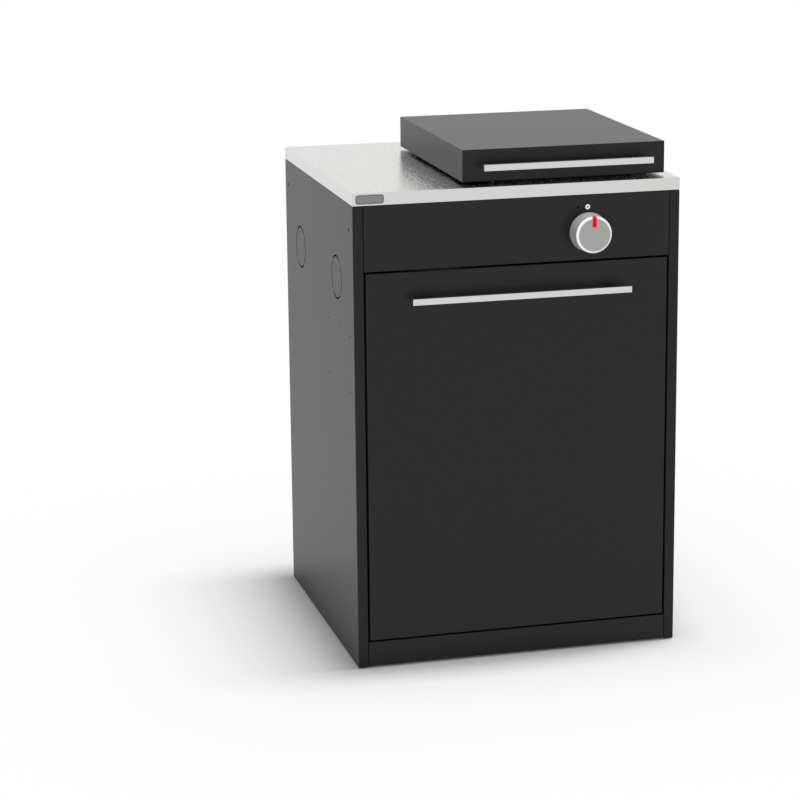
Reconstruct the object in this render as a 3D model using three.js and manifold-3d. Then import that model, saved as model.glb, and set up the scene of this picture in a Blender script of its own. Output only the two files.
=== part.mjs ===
// Outdoor kitchen island: a folded steel cabinet with a pull-out front for a gas bottle,
// a steel worktop, and a single gas burner in a tray under a hinged lid.
// Millimetres, +Z up, front towards -Y, origin on the ground under the middle of the overall box.

import * as THREE from 'three';
import { mergeVertices } from 'three/addons/utils/BufferGeometryUtils.js';
import Module from 'manifold-3d';

const wasm = await Module();
wasm.setup();

// Fits and counts that every piece shares
const seatGap = 0.3;
const cutOverrun = 5;
const mergeGap = 1e-4;
const roundSides = 36;
const smallSides = 16;
const holeSides = 10;
const slotEndSteps = 6;
const badgeCornerSteps = 5;
const bendStep = Math.PI / 8;

// Cabinet of folded sheet
const cabinet = {
  width: 640,
  depth: 600,
  height: 900,
  sheet: 1.5,
  groundGap: 1.5,
  flange: 20,
  flangeReturn: 12,
  otherFlanges: 16,
};
const sideOuter = cabinet.width / 2;
const sideInner = sideOuter - cabinet.sheet;
const flangeEdge = sideOuter - cabinet.flange;

// Knock-outs, bolt holes and runner screw holes in the side panels
const knockout = { radius: 41, slot: 3.4, tab: 3, tabCount: 4, height: 741.5, fromEdge: 140 };
const joiningHole = { radius: 3.5, height: 851, fromEdge: 31 };
const screwRows = { radius: 2, first: 37, pitch: 88.4, upperHeight: 647, apart: 108 };
const upperRowShares = [0, 1, 2, 4, 6];
const lowerRowShares = [0, 2, 6];

// Fascia, plinth, floor, back and rails
const panelSideGap = 0.4;
const fascia = { height: 125, depth: 18, lip: 10 };
const plinth = { groundGap: 3.5, top: 52, depth: 18, lip: 10 };
const floorPanel = { frontGap: 1, skirt: 25, ventWidth: 90, ventHeight: 8, ventPitch: 26, ventCount: 5 };
const backPanel = { bottomGap: 1, ventWidth: 80, ventHeight: 7, ventPitch: 20, ventCount: 4, ventEdge: 60 };
const rail = { depth: 38, height: 30, frontGap: 2 };

// Levelling feet
const foot = {
  padRadius: 18,
  padHeight: 7,
  collarRadius: 10,
  collarHeight: 7,
  stemRadius: 5,
  stemAbove: 6,
  holeGap: 0.5,
  sideInset: 52,
  endInset: 62,
};

// Worktop and its blank badge
const worktop = { thickness: 24, sheet: 1.5, lip: 15 };
const badge = { width: 54, height: 17.5, thickness: 0.8, cornerRadius: 5, edgeInset: 6 };

// Lid over the hob
const lid = {
  width: 400,
  depth: 470,
  height: 61,
  sheet: 1.5,
  lip: 12,
  rightInset: 20,
  frontInset: 33.5,
  standoff: 5,
};
const bumper = { radius: 5, sideInset: 60, frontInset: 6.5 };
const hinge = {
  axisBehind: 5.5,
  axisAboveLidEdge: 1,
  barrelRadius: 4.5,
  pinRadius: 2,
  pinGap: 0.3,
  width: 48,
  knuckleGap: 0.5,
  leafThickness: 2,
  leafLength: 28,
  spread: 280,
};
const centreKnuckleShare = 0.4;

// Bar handles of the lid and the pull-out
const bar = { height: 12, depth: 10, reach: 34, postRadius: 5, postInset: 34 };
const lidBarLength = 334;
const drawerBarLength = 429;
const drawerBarBelowTop = 51.5;

// Hob tray, burner and pot support
const tray = { width: 260, depth: 420, height: 14, sheet: 1.5, lip: 6, setback: 28.5 };
const controlPlate = { thickness: 2, reach: 152, sideGap: 0.5 };
const cutout = { sideMargin: 35, frontMargin: 23, rearMargin: 77 };
const burner = { fromCentre: -19, fromFront: 244 };
const burnerCup = {
  flangeRadius: 52,
  flangeHeight: 2.5,
  headRadius: 47,
  headHeight: 21,
  wall: 4,
  bowlRadius: 38,
  bowlDepth: 34,
  floor: 3,
  trayHoleRadius: 42,
  bossRadius: 11,
  bossReach: 46,
  bossAboveFloor: 14,
};
const burnerCap = { radius: 58, thickness: 3.4, lipHeight: 3, lipWidth: 5, edgeRound: 1 };
const mixer = { radius: 9, bore: 6.5, length: 70, plug: 8 };
const support = {
  wireRadius: 4.75,
  legRadius: 88,
  ringHeight: 15.5,
  topHeight: 37.5,
  apexRadius: 23,
  bend: 9,
  weldDepth: 1.2,
  prongs: 3,
  legs: 6,
};
const supportFirstProng = Math.PI / 6;
const wireSides = 8;
const ringSteps = 36;

// Controls
const knob = {
  radius: 35.2,
  flare: 2.3,
  height: 37.4,
  bevelWidth: 4.2,
  bevelDepth: 3.4,
  wall: 3,
  faceWall: 6.5,
  hubRadius: 9,
  hubSetback: 6,
  gap: 3.5,
  socketDepth: 16,
  socketGap: 0.3,
};
const pointer = { width: 8, inner: 14.6, depth: 5, proud: 0.5 };
const spindle = { radius: 4, seatDepth: 12, travel: 2.5 };
const hobKnob = { fromCentre: 41, fromFront: 68 };
const frontKnob = { fromRightSide: 183.5, belowTop: 70.5 };
const sparkHole = { radius: 2, fromKnob: 19.7, belowTop: 23.2 };
const spindleHoleGap = 2;
const hobValve = { width: 24, depth: 34, height: 30, neckRadius: 10, neckLength: 20 };
const frontValve = { width: 30, height: 40, depth: 28, neckRadius: 11, neckLength: 18 };
const nozzle = { radius: 5, barbRadius: 6.2, bore: 2.5, length: 24, barbs: 3, barbPitch: 7 };
const pipe = { radius: 4, bend: 14, sides: 10 };
const igniter = {
  fromCentre: -60,
  fromFront: 53,
  buttonRadius: 5,
  buttonProud: 10,
  buttonDepth: 12,
  guideGap: 0.3,
  neckRadius: 7,
  neckProud: 2,
  bodyRadius: 10,
  bodyDepth: 36,
  travel: 4,
};
const electrode = {
  radius: 2,
  collarRadius: 4,
  collarHeight: 2.5,
  fromBurner: 55.5,
  above: 14,
  below: 24,
  holeGap: 0.5,
};
const electrodeAngle = (Math.PI * 5) / 4;

// Pull-out
const drawer = {
  sideGap: 3.5,
  topGap: 3.7,
  bottomGap: 3,
  depth: 20,
  lip: 12,
  linerInset: 5,
  floorGap: 14,
  trayHeight: 38,
  rearGap: 42,
  traySideGap: 0.3,
};
const frame = { bandHeight: 78, bottomBand: 44, frontPost: 68, rearPost: 60, flange: 22, bottomGap: 2 };
const runner = {
  height: 45,
  thickness: 12.7,
  wall: 1.2,
  ballGap: 0.7,
  lipShort: 1.5,
  innerLipShort: 4,
  frontSetback: 2.5,
  rearGap: 26,
};
const bracket = { webHeight: 90, lip: 18, frontInset: 25, rearGap: 20 };

// Materials
const finishes = {
  black: new THREE.MeshStandardMaterial({ color: '#2e2e2e', roughness: 0.45, metalness: 0.1 }),
  steel: new THREE.MeshStandardMaterial({ color: '#cfcdc9', roughness: 0.3, metalness: 1 }),
  zinc: new THREE.MeshStandardMaterial({ color: '#9a9c9c', roughness: 0.4, metalness: 0.9 }),
  badge: new THREE.MeshStandardMaterial({ color: '#4a4a4a', roughness: 0.5, metalness: 0.4 }),
  enamel: new THREE.MeshStandardMaterial({ color: '#1e1e1e', roughness: 0.25, metalness: 0.1 }),
  knob: new THREE.MeshStandardMaterial({ color: '#a3a3a0', roughness: 0.4, metalness: 0.3 }),
  red: new THREE.MeshStandardMaterial({ color: '#e0101a', roughness: 0.4, metalness: 0 }),
  wire: new THREE.MeshStandardMaterial({ color: '#8a8c8c', roughness: 0.5, metalness: 0.7 }),
  brass: new THREE.MeshStandardMaterial({ color: '#a8844a', roughness: 0.3, metalness: 1 }),
  casting: new THREE.MeshStandardMaterial({ color: '#55565a', roughness: 0.6, metalness: 0.7 }),
  rubber: new THREE.MeshStandardMaterial({ color: '#1a1a1a', roughness: 0.9, metalness: 0 }),
  ceramic: new THREE.MeshStandardMaterial({ color: '#e8e4da', roughness: 0.4, metalness: 0 }),
};

// Levels and places worked out from the sizes above
const frontReach = knob.gap + knob.height;
const knobFace = frontReach - pointer.proud;
const frontY = frontReach - (cabinet.depth + frontReach) / 2;
const worktopTop = cabinet.height + worktop.thickness;
const lidX = sideOuter - lid.rightInset - lid.width / 2;
const lidBottom = worktopTop + lid.standoff;
const lidRear = lid.frontInset + lid.depth;
const trayFront = lid.frontInset + tray.setback;
const trayFloor = worktopTop + tray.sheet;
const plateTop = trayFloor + controlPlate.thickness;
const burnerX = lidX + burner.fromCentre;
const burnerY = trayFront + burner.fromFront;
const hobKnobX = lidX + hobKnob.fromCentre;
const hobKnobY = trayFront + hobKnob.fromFront;
const igniterX = lidX + igniter.fromCentre;
const igniterY = trayFront + igniter.fromFront;
const frontKnobX = sideOuter - frontKnob.fromRightSide;
const frontKnobZ = cabinet.height - frontKnob.belowTop;
const fasciaBottom = cabinet.height - fascia.height;
const drawerTop = fasciaBottom - drawer.topGap;
const drawerBottom = plinth.top + drawer.bottomGap;
const drawerHalf = flangeEdge - drawer.sideGap;
const lowerRow = screwRows.upperHeight - screwRows.apart;
const runnerZ = (screwRows.upperHeight + lowerRow) / 2;
const runnerFront = drawer.depth + cabinet.sheet + runner.frontSetback;
const runnerRear = cabinet.depth - runner.rearGap;
const frameOuter = flangeEdge - runner.thickness;
const backFace = cabinet.depth - cabinet.sheet * 2;

// Solids: every shape below is a closed solid, and joining and cutting keep it one

function solidOf(geometry) {
  const bare = geometry.clone();
  for (const name of Object.keys(bare.attributes)) {
    if (name !== 'position') bare.deleteAttribute(name);
  }
  const clean = mergeVertices(bare, mergeGap);
  const index = clean.index.array;
  const triangles = [];
  for (let i = 0; i < index.length; i += 3) {
    const [a, b, c] = [index[i], index[i + 1], index[i + 2]];
    if (a !== b && b !== c && a !== c) triangles.push(a, b, c);
  }
  const mesh = new wasm.Mesh({
    numProp: 3,
    vertProperties: new Float32Array(clean.attributes.position.array),
    triVerts: new Uint32Array(triangles),
  });
  return new wasm.Manifold(mesh);
}

function geometryOf(solid) {
  const mesh = solid.getMesh();
  const geometry = new THREE.BufferGeometry();
  geometry.setAttribute('position', new THREE.BufferAttribute(new Float32Array(mesh.vertProperties), 3));
  geometry.setIndex(new THREE.BufferAttribute(new Uint32Array(mesh.triVerts), 1));
  const faceted = geometry.toNonIndexed();
  faceted.computeVertexNormals();
  return faceted;
}

function join(...solids) {
  return solids.reduce((whole, next) => whole.add(next));
}

function cut(body, ...tools) {
  return tools.reduce((whole, tool) => whole.subtract(tool), body);
}

function centred(middle, length) {
  return [middle - length / 2, middle + length / 2];
}

function polar(radius, angle, z = 0) {
  return new THREE.Vector3(radius * Math.cos(angle), radius * Math.sin(angle), z);
}

// A box between two corners; the two ends of a side may come in either order
function block([xa, xb], [ya, yb], [za, zb]) {
  const size = [xa - xb, ya - yb, za - zb].map(Math.abs);
  const geometry = new THREE.BoxGeometry(...size);
  return solidOf(geometry.translate((xa + xb) / 2, (ya + yb) / 2, (za + zb) / 2));
}

// An outline in XZ pushed along Y
function prism(outline, [from, to]) {
  const shape = new THREE.Shape(outline.map(([x, z]) => new THREE.Vector2(x, z)));
  const geometry = new THREE.ExtrudeGeometry(shape, { depth: to - from, bevelEnabled: false });
  return solidOf(geometry.rotateX(Math.PI / 2).translate(0, to, 0));
}

// The profile runs from the lower point on the axis round the outside to the upper one
function firstOnAxis(profile) {
  const count = profile.length;
  return profile.findIndex(([r], i) => r === 0 && profile[(i + count - 1) % count][0] === 0);
}

// A turned solid: profile points are [radius, height] up the axis, which points along `axis`
function turned(profile, place, axis = 'z', sides = roundSides) {
  let doubled = 0;
  profile.forEach(([r, h], i) => {
    const [rNext, hNext] = profile[(i + 1) % profile.length];
    doubled += r * hNext - rNext * h;
  });
  const ordered = doubled > 0 ? profile : [...profile].reverse();
  const onAxis = ordered.some(([r]) => r === 0);
  const first = onAxis ? firstOnAxis(ordered) : 0;
  const points = ordered.map((_, i) => ordered[(first + i) % ordered.length]);
  if (!onAxis) points.push(points[0]);
  const geometry = new THREE.LatheGeometry(points.map(([r, h]) => new THREE.Vector2(r, h)), sides);
  if (axis === 'z') geometry.rotateX(Math.PI / 2);
  if (axis === '-y') geometry.rotateX(Math.PI);
  if (axis === 'x') geometry.rotateZ(-Math.PI / 2);
  return solidOf(geometry.translate(...place));
}

function rod(radius, from, to, place, axis = 'z', sides = roundSides) {
  return turned([[0, from], [radius, from], [radius, to], [0, to]], place, axis, sides);
}

// A folded pan: thin walls round a cavity, open towards one side, with an inward lip at the mouth
function pan(box, wall, openAxis, openSign, lip = 0) {
  const inner = box.map(([low, high]) => [low + wall, high - wall]);
  const mouth = box.map(([low, high]) => [low + lip, high - lip]);
  const [low, high] = box[openAxis];
  const past = openSign > 0 ? high + cutOverrun : low - cutOverrun;
  if (lip === 0) {
    inner[openAxis] = [openSign > 0 ? low + wall : high - wall, past];
    return cut(block(...box), block(...inner));
  }
  mouth[openAxis] = [openSign > 0 ? high - wall * 2 : low + wall * 2, past];
  return cut(block(...box), block(...inner), block(...mouth));
}

// A slot cutter with round ends, long along X, pushed through along `axis`
function slotCutter(width, height, length, place, axis) {
  const shape = new THREE.Shape();
  const end = height / 2;
  const straight = width / 2 - end;
  shape.absarc(straight, 0, end, -Math.PI / 2, Math.PI / 2, false);
  shape.absarc(-straight, 0, end, Math.PI / 2, (Math.PI * 3) / 2, false);
  const options = { depth: length, bevelEnabled: false, curveSegments: slotEndSteps };
  const geometry = new THREE.ExtrudeGeometry(shape, options);
  geometry.translate(0, 0, -length / 2);
  if (axis === 'y') geometry.rotateX(Math.PI / 2);
  return solidOf(geometry.translate(...place));
}

// The corners of a path rounded to a bend radius on the centre line
function rounded(corners, radius) {
  const path = [corners[0]];
  for (let i = 1; i < corners.length - 1; i += 1) {
    const back = corners[i - 1].clone().sub(corners[i]).normalize();
    const ahead = corners[i + 1].clone().sub(corners[i]).normalize();
    const half = back.angleTo(ahead) / 2;
    const middle = back.clone().add(ahead).normalize();
    const centre = corners[i].clone().addScaledVector(middle, radius / Math.sin(half));
    const start = corners[i].clone().addScaledVector(back, radius / Math.tan(half)).sub(centre);
    const finish = corners[i].clone().addScaledVector(ahead, radius / Math.tan(half)).sub(centre);
    const turn = start.angleTo(finish);
    const axis = start.clone().cross(finish).normalize();
    const steps = Math.max(1, Math.ceil(turn / bendStep));
    for (let k = 0; k <= steps; k += 1) {
      path.push(start.clone().applyAxisAngle(axis, (turn * k) / steps).add(centre));
    }
  }
  path.push(corners[corners.length - 1]);
  return path;
}

// A round bar along a path, mitred where the path turns
function swept(path, radius, sides) {
  const direction = (i) => path[i + 1].clone().sub(path[i]).normalize();
  const first = direction(0);
  const across = new THREE.Vector3(1, 0, 0).cross(first);
  if (across.lengthSq() < 1 / 2) across.set(0, 1, 0).cross(first);
  across.normalize();
  let ring = [];
  for (let k = 0; k < sides; k += 1) {
    const spoke = across.clone().applyAxisAngle(first, (k * 2 * Math.PI) / sides);
    ring.push(spoke.multiplyScalar(radius).add(path[0]));
  }
  const rings = [ring];
  for (let i = 1; i < path.length; i += 1) {
    const along = direction(i - 1);
    const normal = i < path.length - 1 ? direction(i).add(along).normalize() : along;
    ring = ring.map((p) => {
      const travel = path[i].clone().sub(p).dot(normal) / along.dot(normal);
      return p.clone().addScaledVector(along, travel);
    });
    rings.push(ring);
  }
  const vertices = [path[0], ...rings.flat(), path[path.length - 1]];
  const last = vertices.length - 1;
  const at = (i, k) => 1 + i * sides + (k % sides);
  const faces = [];
  for (let k = 0; k < sides; k += 1) {
    faces.push(0, at(0, k + 1), at(0, k));
    faces.push(last, at(path.length - 1, k), at(path.length - 1, k + 1));
    for (let i = 0; i < path.length - 1; i += 1) {
      faces.push(at(i, k), at(i, k + 1), at(i + 1, k + 1));
      faces.push(at(i, k), at(i + 1, k + 1), at(i + 1, k));
    }
  }
  const geometry = new THREE.BufferGeometry().setFromPoints(vertices);
  geometry.setIndex(faces);
  return solidOf(geometry);
}

const island = new THREE.Group();
const cabinetGroup = new THREE.Group();
cabinetGroup.position.y = frontY;
island.add(cabinetGroup);

function add(name, solid, finish) {
  const mesh = new THREE.Mesh(geometryOf(solid), finish);
  mesh.name = name;
  cabinetGroup.add(mesh);
}

const hands = [
  { name: 'left', side: -1 },
  { name: 'right', side: 1 },
];

// Side panels: a web with folded flanges, knock-outs for a hose, and holes

function knockoutCutter(x, y) {
  const length = cabinet.sheet + cutOverrun * 2;
  const outer = knockout.radius + knockout.slot / 2;
  const inner = knockout.radius - knockout.slot / 2;
  const place = [x - length / 2, y, knockout.height];
  const ring = cut(
    rod(outer, 0, length, place, 'x'),
    rod(inner, -cutOverrun, length + cutOverrun, place, 'x'),
  );
  const tabs = [];
  for (let i = 0; i < knockout.tabCount; i += 1) {
    const tab = new THREE.BoxGeometry(length + cutOverrun, knockout.tab, outer);
    tab.translate(0, 0, outer / 2 + inner / 2);
    tab.rotateX(((i + 1 / 2) * 2 * Math.PI) / knockout.tabCount);
    tabs.push(solidOf(tab.translate(x, y, knockout.height)));
  }
  return cut(ring, ...tabs);
}

function sidePanel(side) {
  const at = (inward) => side * (sideOuter - inward);
  const { sheet, depth, height, flange, flangeReturn, groundGap } = cabinet;
  const folded = cut(
    block([at(0), at(flange)], [0, depth], [groundGap, height]),
    block([at(sheet), at(flange - sheet)], [sheet, depth - sheet], [groundGap + sheet, height - sheet]),
    block(
      [at(cabinet.otherFlanges), at(flange + cutOverrun)],
      [flangeReturn, depth + cutOverrun],
      [groundGap - cutOverrun, height + cutOverrun],
    ),
  );
  const through = (radius, y, z) => {
    const from = side > 0 ? -cutOverrun : -cutOverrun - sheet;
    return rod(radius, from, from + sheet + cutOverrun * 2, [at(sheet), y, z], 'x', holeSides);
  };
  const rowY = (share) => screwRows.first + share * screwRows.pitch;
  const joiningY = [joiningHole.fromEdge, depth - joiningHole.fromEdge];
  const holes = [
    ...joiningY.map((y) => through(joiningHole.radius, y, joiningHole.height)),
    ...upperRowShares.map((share) => through(screwRows.radius, rowY(share), screwRows.upperHeight)),
    ...lowerRowShares.map((share) => through(screwRows.radius, rowY(share), lowerRow)),
    knockoutCutter(at(sheet / 2), knockout.fromEdge),
    knockoutCutter(at(sheet / 2), depth - knockout.fromEdge),
  ];
  return cut(folded, ...holes);
}

for (const { name, side } of hands) {
  add(`side_panel_${name}`, sidePanel(side), finishes.black);
}

// Fascia, plinth, rails, floor and back

const fixedHalf = flangeEdge - panelSideGap;
const spindleHole = spindle.radius + spindleHoleGap;
const fasciaThrough = [-cabinet.sheet - cutOverrun, cutOverrun];
add(
  'fascia_panel',
  cut(
    pan(
      [[-fixedHalf, fixedHalf], [0, fascia.depth], [fasciaBottom, cabinet.height - seatGap]],
      cabinet.sheet, 1, 1, fascia.lip,
    ),
    rod(spindleHole, ...fasciaThrough, [frontKnobX, 0, frontKnobZ], '-y', smallSides),
    rod(
      sparkHole.radius,
      ...fasciaThrough,
      [frontKnobX - sparkHole.fromKnob, 0, cabinet.height - sparkHole.belowTop],
      '-y', holeSides,
    ),
  ),
  finishes.black,
);

add(
  'plinth',
  pan(
    [[-fixedHalf, fixedHalf], [0, plinth.depth], [plinth.groundGap, plinth.top]],
    cabinet.sheet, 1, 1, plinth.lip,
  ),
  finishes.black,
);

const railHalf = sideInner - seatGap;
const railTop = cabinet.height - cabinet.sheet - seatGap;
function crossRail(front) {
  return pan(
    [[-railHalf, railHalf], [front, front + rail.depth], [railTop - rail.height, railTop]],
    cabinet.sheet, 2, -1,
  );
}
add('front_rail', crossRail(fascia.depth + rail.frontGap), finishes.zinc);
add('rear_rail', crossRail(backFace - seatGap - rail.depth), finishes.zinc);

const floorFront = plinth.depth + floorPanel.frontGap;
const floorRear = backFace - seatGap;
const footPlaces = [];
for (const { name, side } of hands) {
  footPlaces.push([`foot_front_${name}`, side * (sideOuter - foot.sideInset), foot.endInset]);
  footPlaces.push([`foot_rear_${name}`, side * (sideOuter - foot.sideInset), cabinet.depth - foot.endInset]);
}

// Vent slots through a sheet: `axis` is the way through it, and the row runs along the other one
function ventRow(middleY, middleZ, vent, axis) {
  const cutters = [];
  for (let i = 0; i < vent.ventCount; i += 1) {
    const offset = (i - (vent.ventCount - 1) / 2) * vent.ventPitch;
    const place = axis === 'y' ? [0, middleY, middleZ + offset] : [0, middleY + offset, middleZ];
    cutters.push(slotCutter(vent.ventWidth, vent.ventHeight, cutOverrun * 2, place, axis));
  }
  return cutters;
}

const floorMiddleY = (floorFront + floorRear) / 2;
const floorShell = pan(
  [[-railHalf, railHalf], [floorFront, floorRear], [plinth.top - floorPanel.skirt, plinth.top]],
  cabinet.sheet, 2, -1,
);
const stemHoles = footPlaces.map(([, x, y]) => rod(
  foot.stemRadius + foot.holeGap,
  plinth.top - cabinet.sheet - cutOverrun, plinth.top + cutOverrun,
  [x, y, 0], 'z', smallSides,
));
add(
  'floor_panel',
  cut(floorShell, ...stemHoles, ...ventRow(floorMiddleY, plinth.top - cabinet.sheet / 2, floorPanel, 'z')),
  finishes.black,
);

const backBottom = plinth.top + backPanel.bottomGap;
const backTop = railTop;
const backHalf = railHalf;
const backVents = [backBottom + backPanel.ventEdge, backTop - backPanel.ventEdge - rail.height];
add(
  'back_panel',
  cut(
    block([-backHalf, backHalf], [backFace, backFace + cabinet.sheet], [backBottom, backTop]),
    ...backVents.flatMap((z) => ventRow(backFace + cabinet.sheet / 2, z, backPanel, 'y')),
  ),
  finishes.black,
);

// Levelling feet: a pad, a collar under the floor panel and a stem through it
const collarTop = plinth.top - cabinet.sheet - seatGap;
const footProfile = [
  [0, 0],
  [foot.padRadius, 0],
  [foot.padRadius, foot.padHeight / 2],
  [foot.stemRadius, foot.padHeight],
  [foot.stemRadius, collarTop - foot.collarHeight],
  [foot.collarRadius, collarTop - foot.collarHeight],
  [foot.collarRadius, collarTop],
  [foot.stemRadius, collarTop],
  [foot.stemRadius, plinth.top + foot.stemAbove],
  [0, plinth.top + foot.stemAbove],
];
for (const [name, x, y] of footPlaces) {
  add(name, turned(footProfile, [x, y, 0], 'z', smallSides), finishes.rubber);
}

// Worktop: a folded steel pan with a cut-out under the hob tray
const cutoutX = centred(lidX, tray.width - cutout.sideMargin * 2);
const cutoutY = [trayFront + cutout.frontMargin, trayFront + tray.depth - cutout.rearMargin];
add(
  'worktop',
  cut(
    pan(
      [[-sideOuter, sideOuter], [0, cabinet.depth], [cabinet.height, worktopTop]],
      worktop.sheet, 2, -1, worktop.lip,
    ),
    block(cutoutX, cutoutY, [worktopTop - worktop.sheet * 2, worktopTop + cutOverrun]),
  ),
  finishes.steel,
);

function badgePlate() {
  const shape = new THREE.Shape();
  const [halfWidth, halfHeight, r] = [badge.width / 2, badge.height / 2, badge.cornerRadius];
  shape.absarc(halfWidth - r, halfHeight - r, r, 0, Math.PI / 2, false);
  shape.absarc(r - halfWidth, halfHeight - r, r, Math.PI / 2, Math.PI, false);
  shape.absarc(r - halfWidth, r - halfHeight, r, Math.PI, (Math.PI * 3) / 2, false);
  shape.absarc(halfWidth - r, r - halfHeight, r, (Math.PI * 3) / 2, Math.PI * 2, false);
  const options = { depth: badge.thickness, bevelEnabled: false, curveSegments: badgeCornerSteps };
  const geometry = new THREE.ExtrudeGeometry(shape, options);
  geometry.rotateX(Math.PI / 2);
  const x = badge.edgeInset + halfWidth - sideOuter;
  return solidOf(geometry.translate(x, 0, cabinet.height + worktop.thickness / 2));
}
add('badge_plate', badgePlate(), finishes.badge);

// Hob tray and burner

const trayX = centred(lidX, tray.width);
const electrodeX = burnerX + electrode.fromBurner * Math.cos(electrodeAngle);
const electrodeY = burnerY + electrode.fromBurner * Math.sin(electrodeAngle);
function trayHole(radius, x, y, sides = smallSides) {
  return rod(radius, worktopTop - cutOverrun, trayFloor + cutOverrun, [x, y, 0], 'z', sides);
}
add(
  'hob_tray',
  cut(
    pan(
      [trayX, [trayFront, trayFront + tray.depth], [worktopTop, worktopTop + tray.height]],
      tray.sheet, 2, 1, tray.lip,
    ),
    trayHole(burnerCup.trayHoleRadius, burnerX, burnerY, roundSides),
    trayHole(spindleHole, hobKnobX, hobKnobY),
    trayHole(igniter.neckRadius + igniter.guideGap, igniterX, igniterY),
    trayHole(electrode.radius + electrode.holeGap, electrodeX, electrodeY, holeSides),
  ),
  finishes.enamel,
);

// Control plate: a flat plate on the front of the tray, round the tap and the igniter
const plateInset = tray.sheet + controlPlate.sideGap;
function plateHole(radius, x, y) {
  return rod(radius, trayFloor - cutOverrun, plateTop + cutOverrun, [x, y, 0], 'z', smallSides);
}
add(
  'control_plate',
  cut(
    block(
      centred(lidX, tray.width - plateInset * 2),
      [trayFront + plateInset, trayFront + controlPlate.reach],
      [trayFloor, plateTop],
    ),
    plateHole(spindleHole, hobKnobX, hobKnobY),
    plateHole(igniter.neckRadius + igniter.guideGap, igniterX, igniterY),
  ),
  finishes.enamel,
);

// Burner body: a bowl hanging through the tray, a flange on it and an open head above
const flangeBottom = trayFloor + seatGap;
const headTop = trayFloor + burnerCup.headHeight;
const bowlBottom = worktopTop - burnerCup.bowlDepth;
const bossZ = bowlBottom + burnerCup.bossAboveFloor;
function burnerBody() {
  const shell = turned([
    [0, bowlBottom],
    [burnerCup.bowlRadius, bowlBottom],
    [burnerCup.bowlRadius, flangeBottom],
    [burnerCup.flangeRadius, flangeBottom],
    [burnerCup.flangeRadius, flangeBottom + burnerCup.flangeHeight],
    [burnerCup.headRadius, flangeBottom + burnerCup.flangeHeight],
    [burnerCup.headRadius, headTop],
    [burnerCup.headRadius - burnerCup.wall, headTop],
    [burnerCup.bowlRadius - burnerCup.wall, flangeBottom],
    [burnerCup.bowlRadius - burnerCup.wall, bowlBottom + burnerCup.floor],
    [0, bowlBottom + burnerCup.floor],
  ], [burnerX, burnerY, 0]);
  const inside = burnerCup.bowlRadius - burnerCup.wall / 2;
  const place = [burnerX, burnerY, bossZ];
  const boss = rod(burnerCup.bossRadius, inside, burnerCup.bossReach, place, '-y', smallSides);
  const bore = rod(mixer.bore, 0, burnerCup.bossReach + cutOverrun, place, '-y', smallSides);
  return cut(join(shell, boss), bore);
}
add('burner_body', burnerBody(), finishes.casting);

const capBottom = headTop + seatGap;
add(
  'burner_cap',
  turned([
    [0, capBottom],
    [burnerCap.radius - burnerCap.lipWidth, capBottom],
    [burnerCap.radius - burnerCap.lipWidth, capBottom - burnerCap.lipHeight],
    [burnerCap.radius - burnerCap.edgeRound, capBottom - burnerCap.lipHeight],
    [burnerCap.radius, capBottom - burnerCap.lipHeight + burnerCap.edgeRound],
    [burnerCap.radius, capBottom + burnerCap.thickness - burnerCap.edgeRound],
    [burnerCap.radius - burnerCap.edgeRound, capBottom + burnerCap.thickness],
    [0, capBottom + burnerCap.thickness],
  ], [burnerX, burnerY, 0]),
  finishes.brass,
);

const mixerRear = burnerCup.bossReach + seatGap;
const mixerFront = mixerRear + mixer.length;
add(
  'mixing_tube',
  turned([
    [mixer.bore, mixerRear],
    [mixer.radius, mixerRear],
    [mixer.radius, mixerFront],
    [0, mixerFront],
    [0, mixerFront - mixer.plug],
    [mixer.bore, mixerFront - mixer.plug],
  ], [burnerX, burnerY, bossZ], '-y', smallSides),
  finishes.zinc,
);

// Pot support: a wire ring and three prongs, each one wire bent up, in to its point and out again
function potSupport() {
  const { wireRadius, legRadius, apexRadius } = support;
  const ringRadius = legRadius - wireRadius * 2 + support.weldDepth;
  const ring = new THREE.TorusGeometry(ringRadius, wireRadius, wireSides, ringSteps);
  const pieces = [solidOf(ring.translate(burnerX, burnerY, trayFloor + support.ringHeight))];
  const centre = new THREE.Vector3(burnerX, burnerY, 0);
  const topZ = trayFloor + support.topHeight;
  for (let i = 0; i < support.prongs; i += 1) {
    const middle = supportFirstProng + (i * 2 * Math.PI) / support.prongs;
    const [near, far] = [middle - Math.PI / support.legs, middle + Math.PI / support.legs];
    const corners = [
      polar(legRadius, near, flangeBottom),
      polar(legRadius, near, topZ),
      polar(apexRadius, middle, topZ),
      polar(legRadius, far, topZ),
      polar(legRadius, far, flangeBottom),
    ].map((corner) => corner.add(centre));
    pieces.push(swept(rounded(corners, support.bend), wireRadius, wireSides));
  }
  return join(...pieces);
}
add('pot_support', potSupport(), finishes.wire);

// Spark electrode beside the burner
add(
  'spark_electrode',
  turned([
    [0, worktopTop - electrode.below],
    [electrode.radius, worktopTop - electrode.below],
    [electrode.radius, flangeBottom],
    [electrode.collarRadius - electrode.radius / 2, flangeBottom],
    [electrode.collarRadius - electrode.radius / 2, flangeBottom + electrode.collarHeight],
    [electrode.radius, flangeBottom + electrode.collarHeight],
    [electrode.radius, trayFloor + electrode.above],
    [0, trayFloor + electrode.above],
  ], [electrodeX, electrodeY, 0], 'z', holeSides),
  finishes.ceramic,
);

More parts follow.
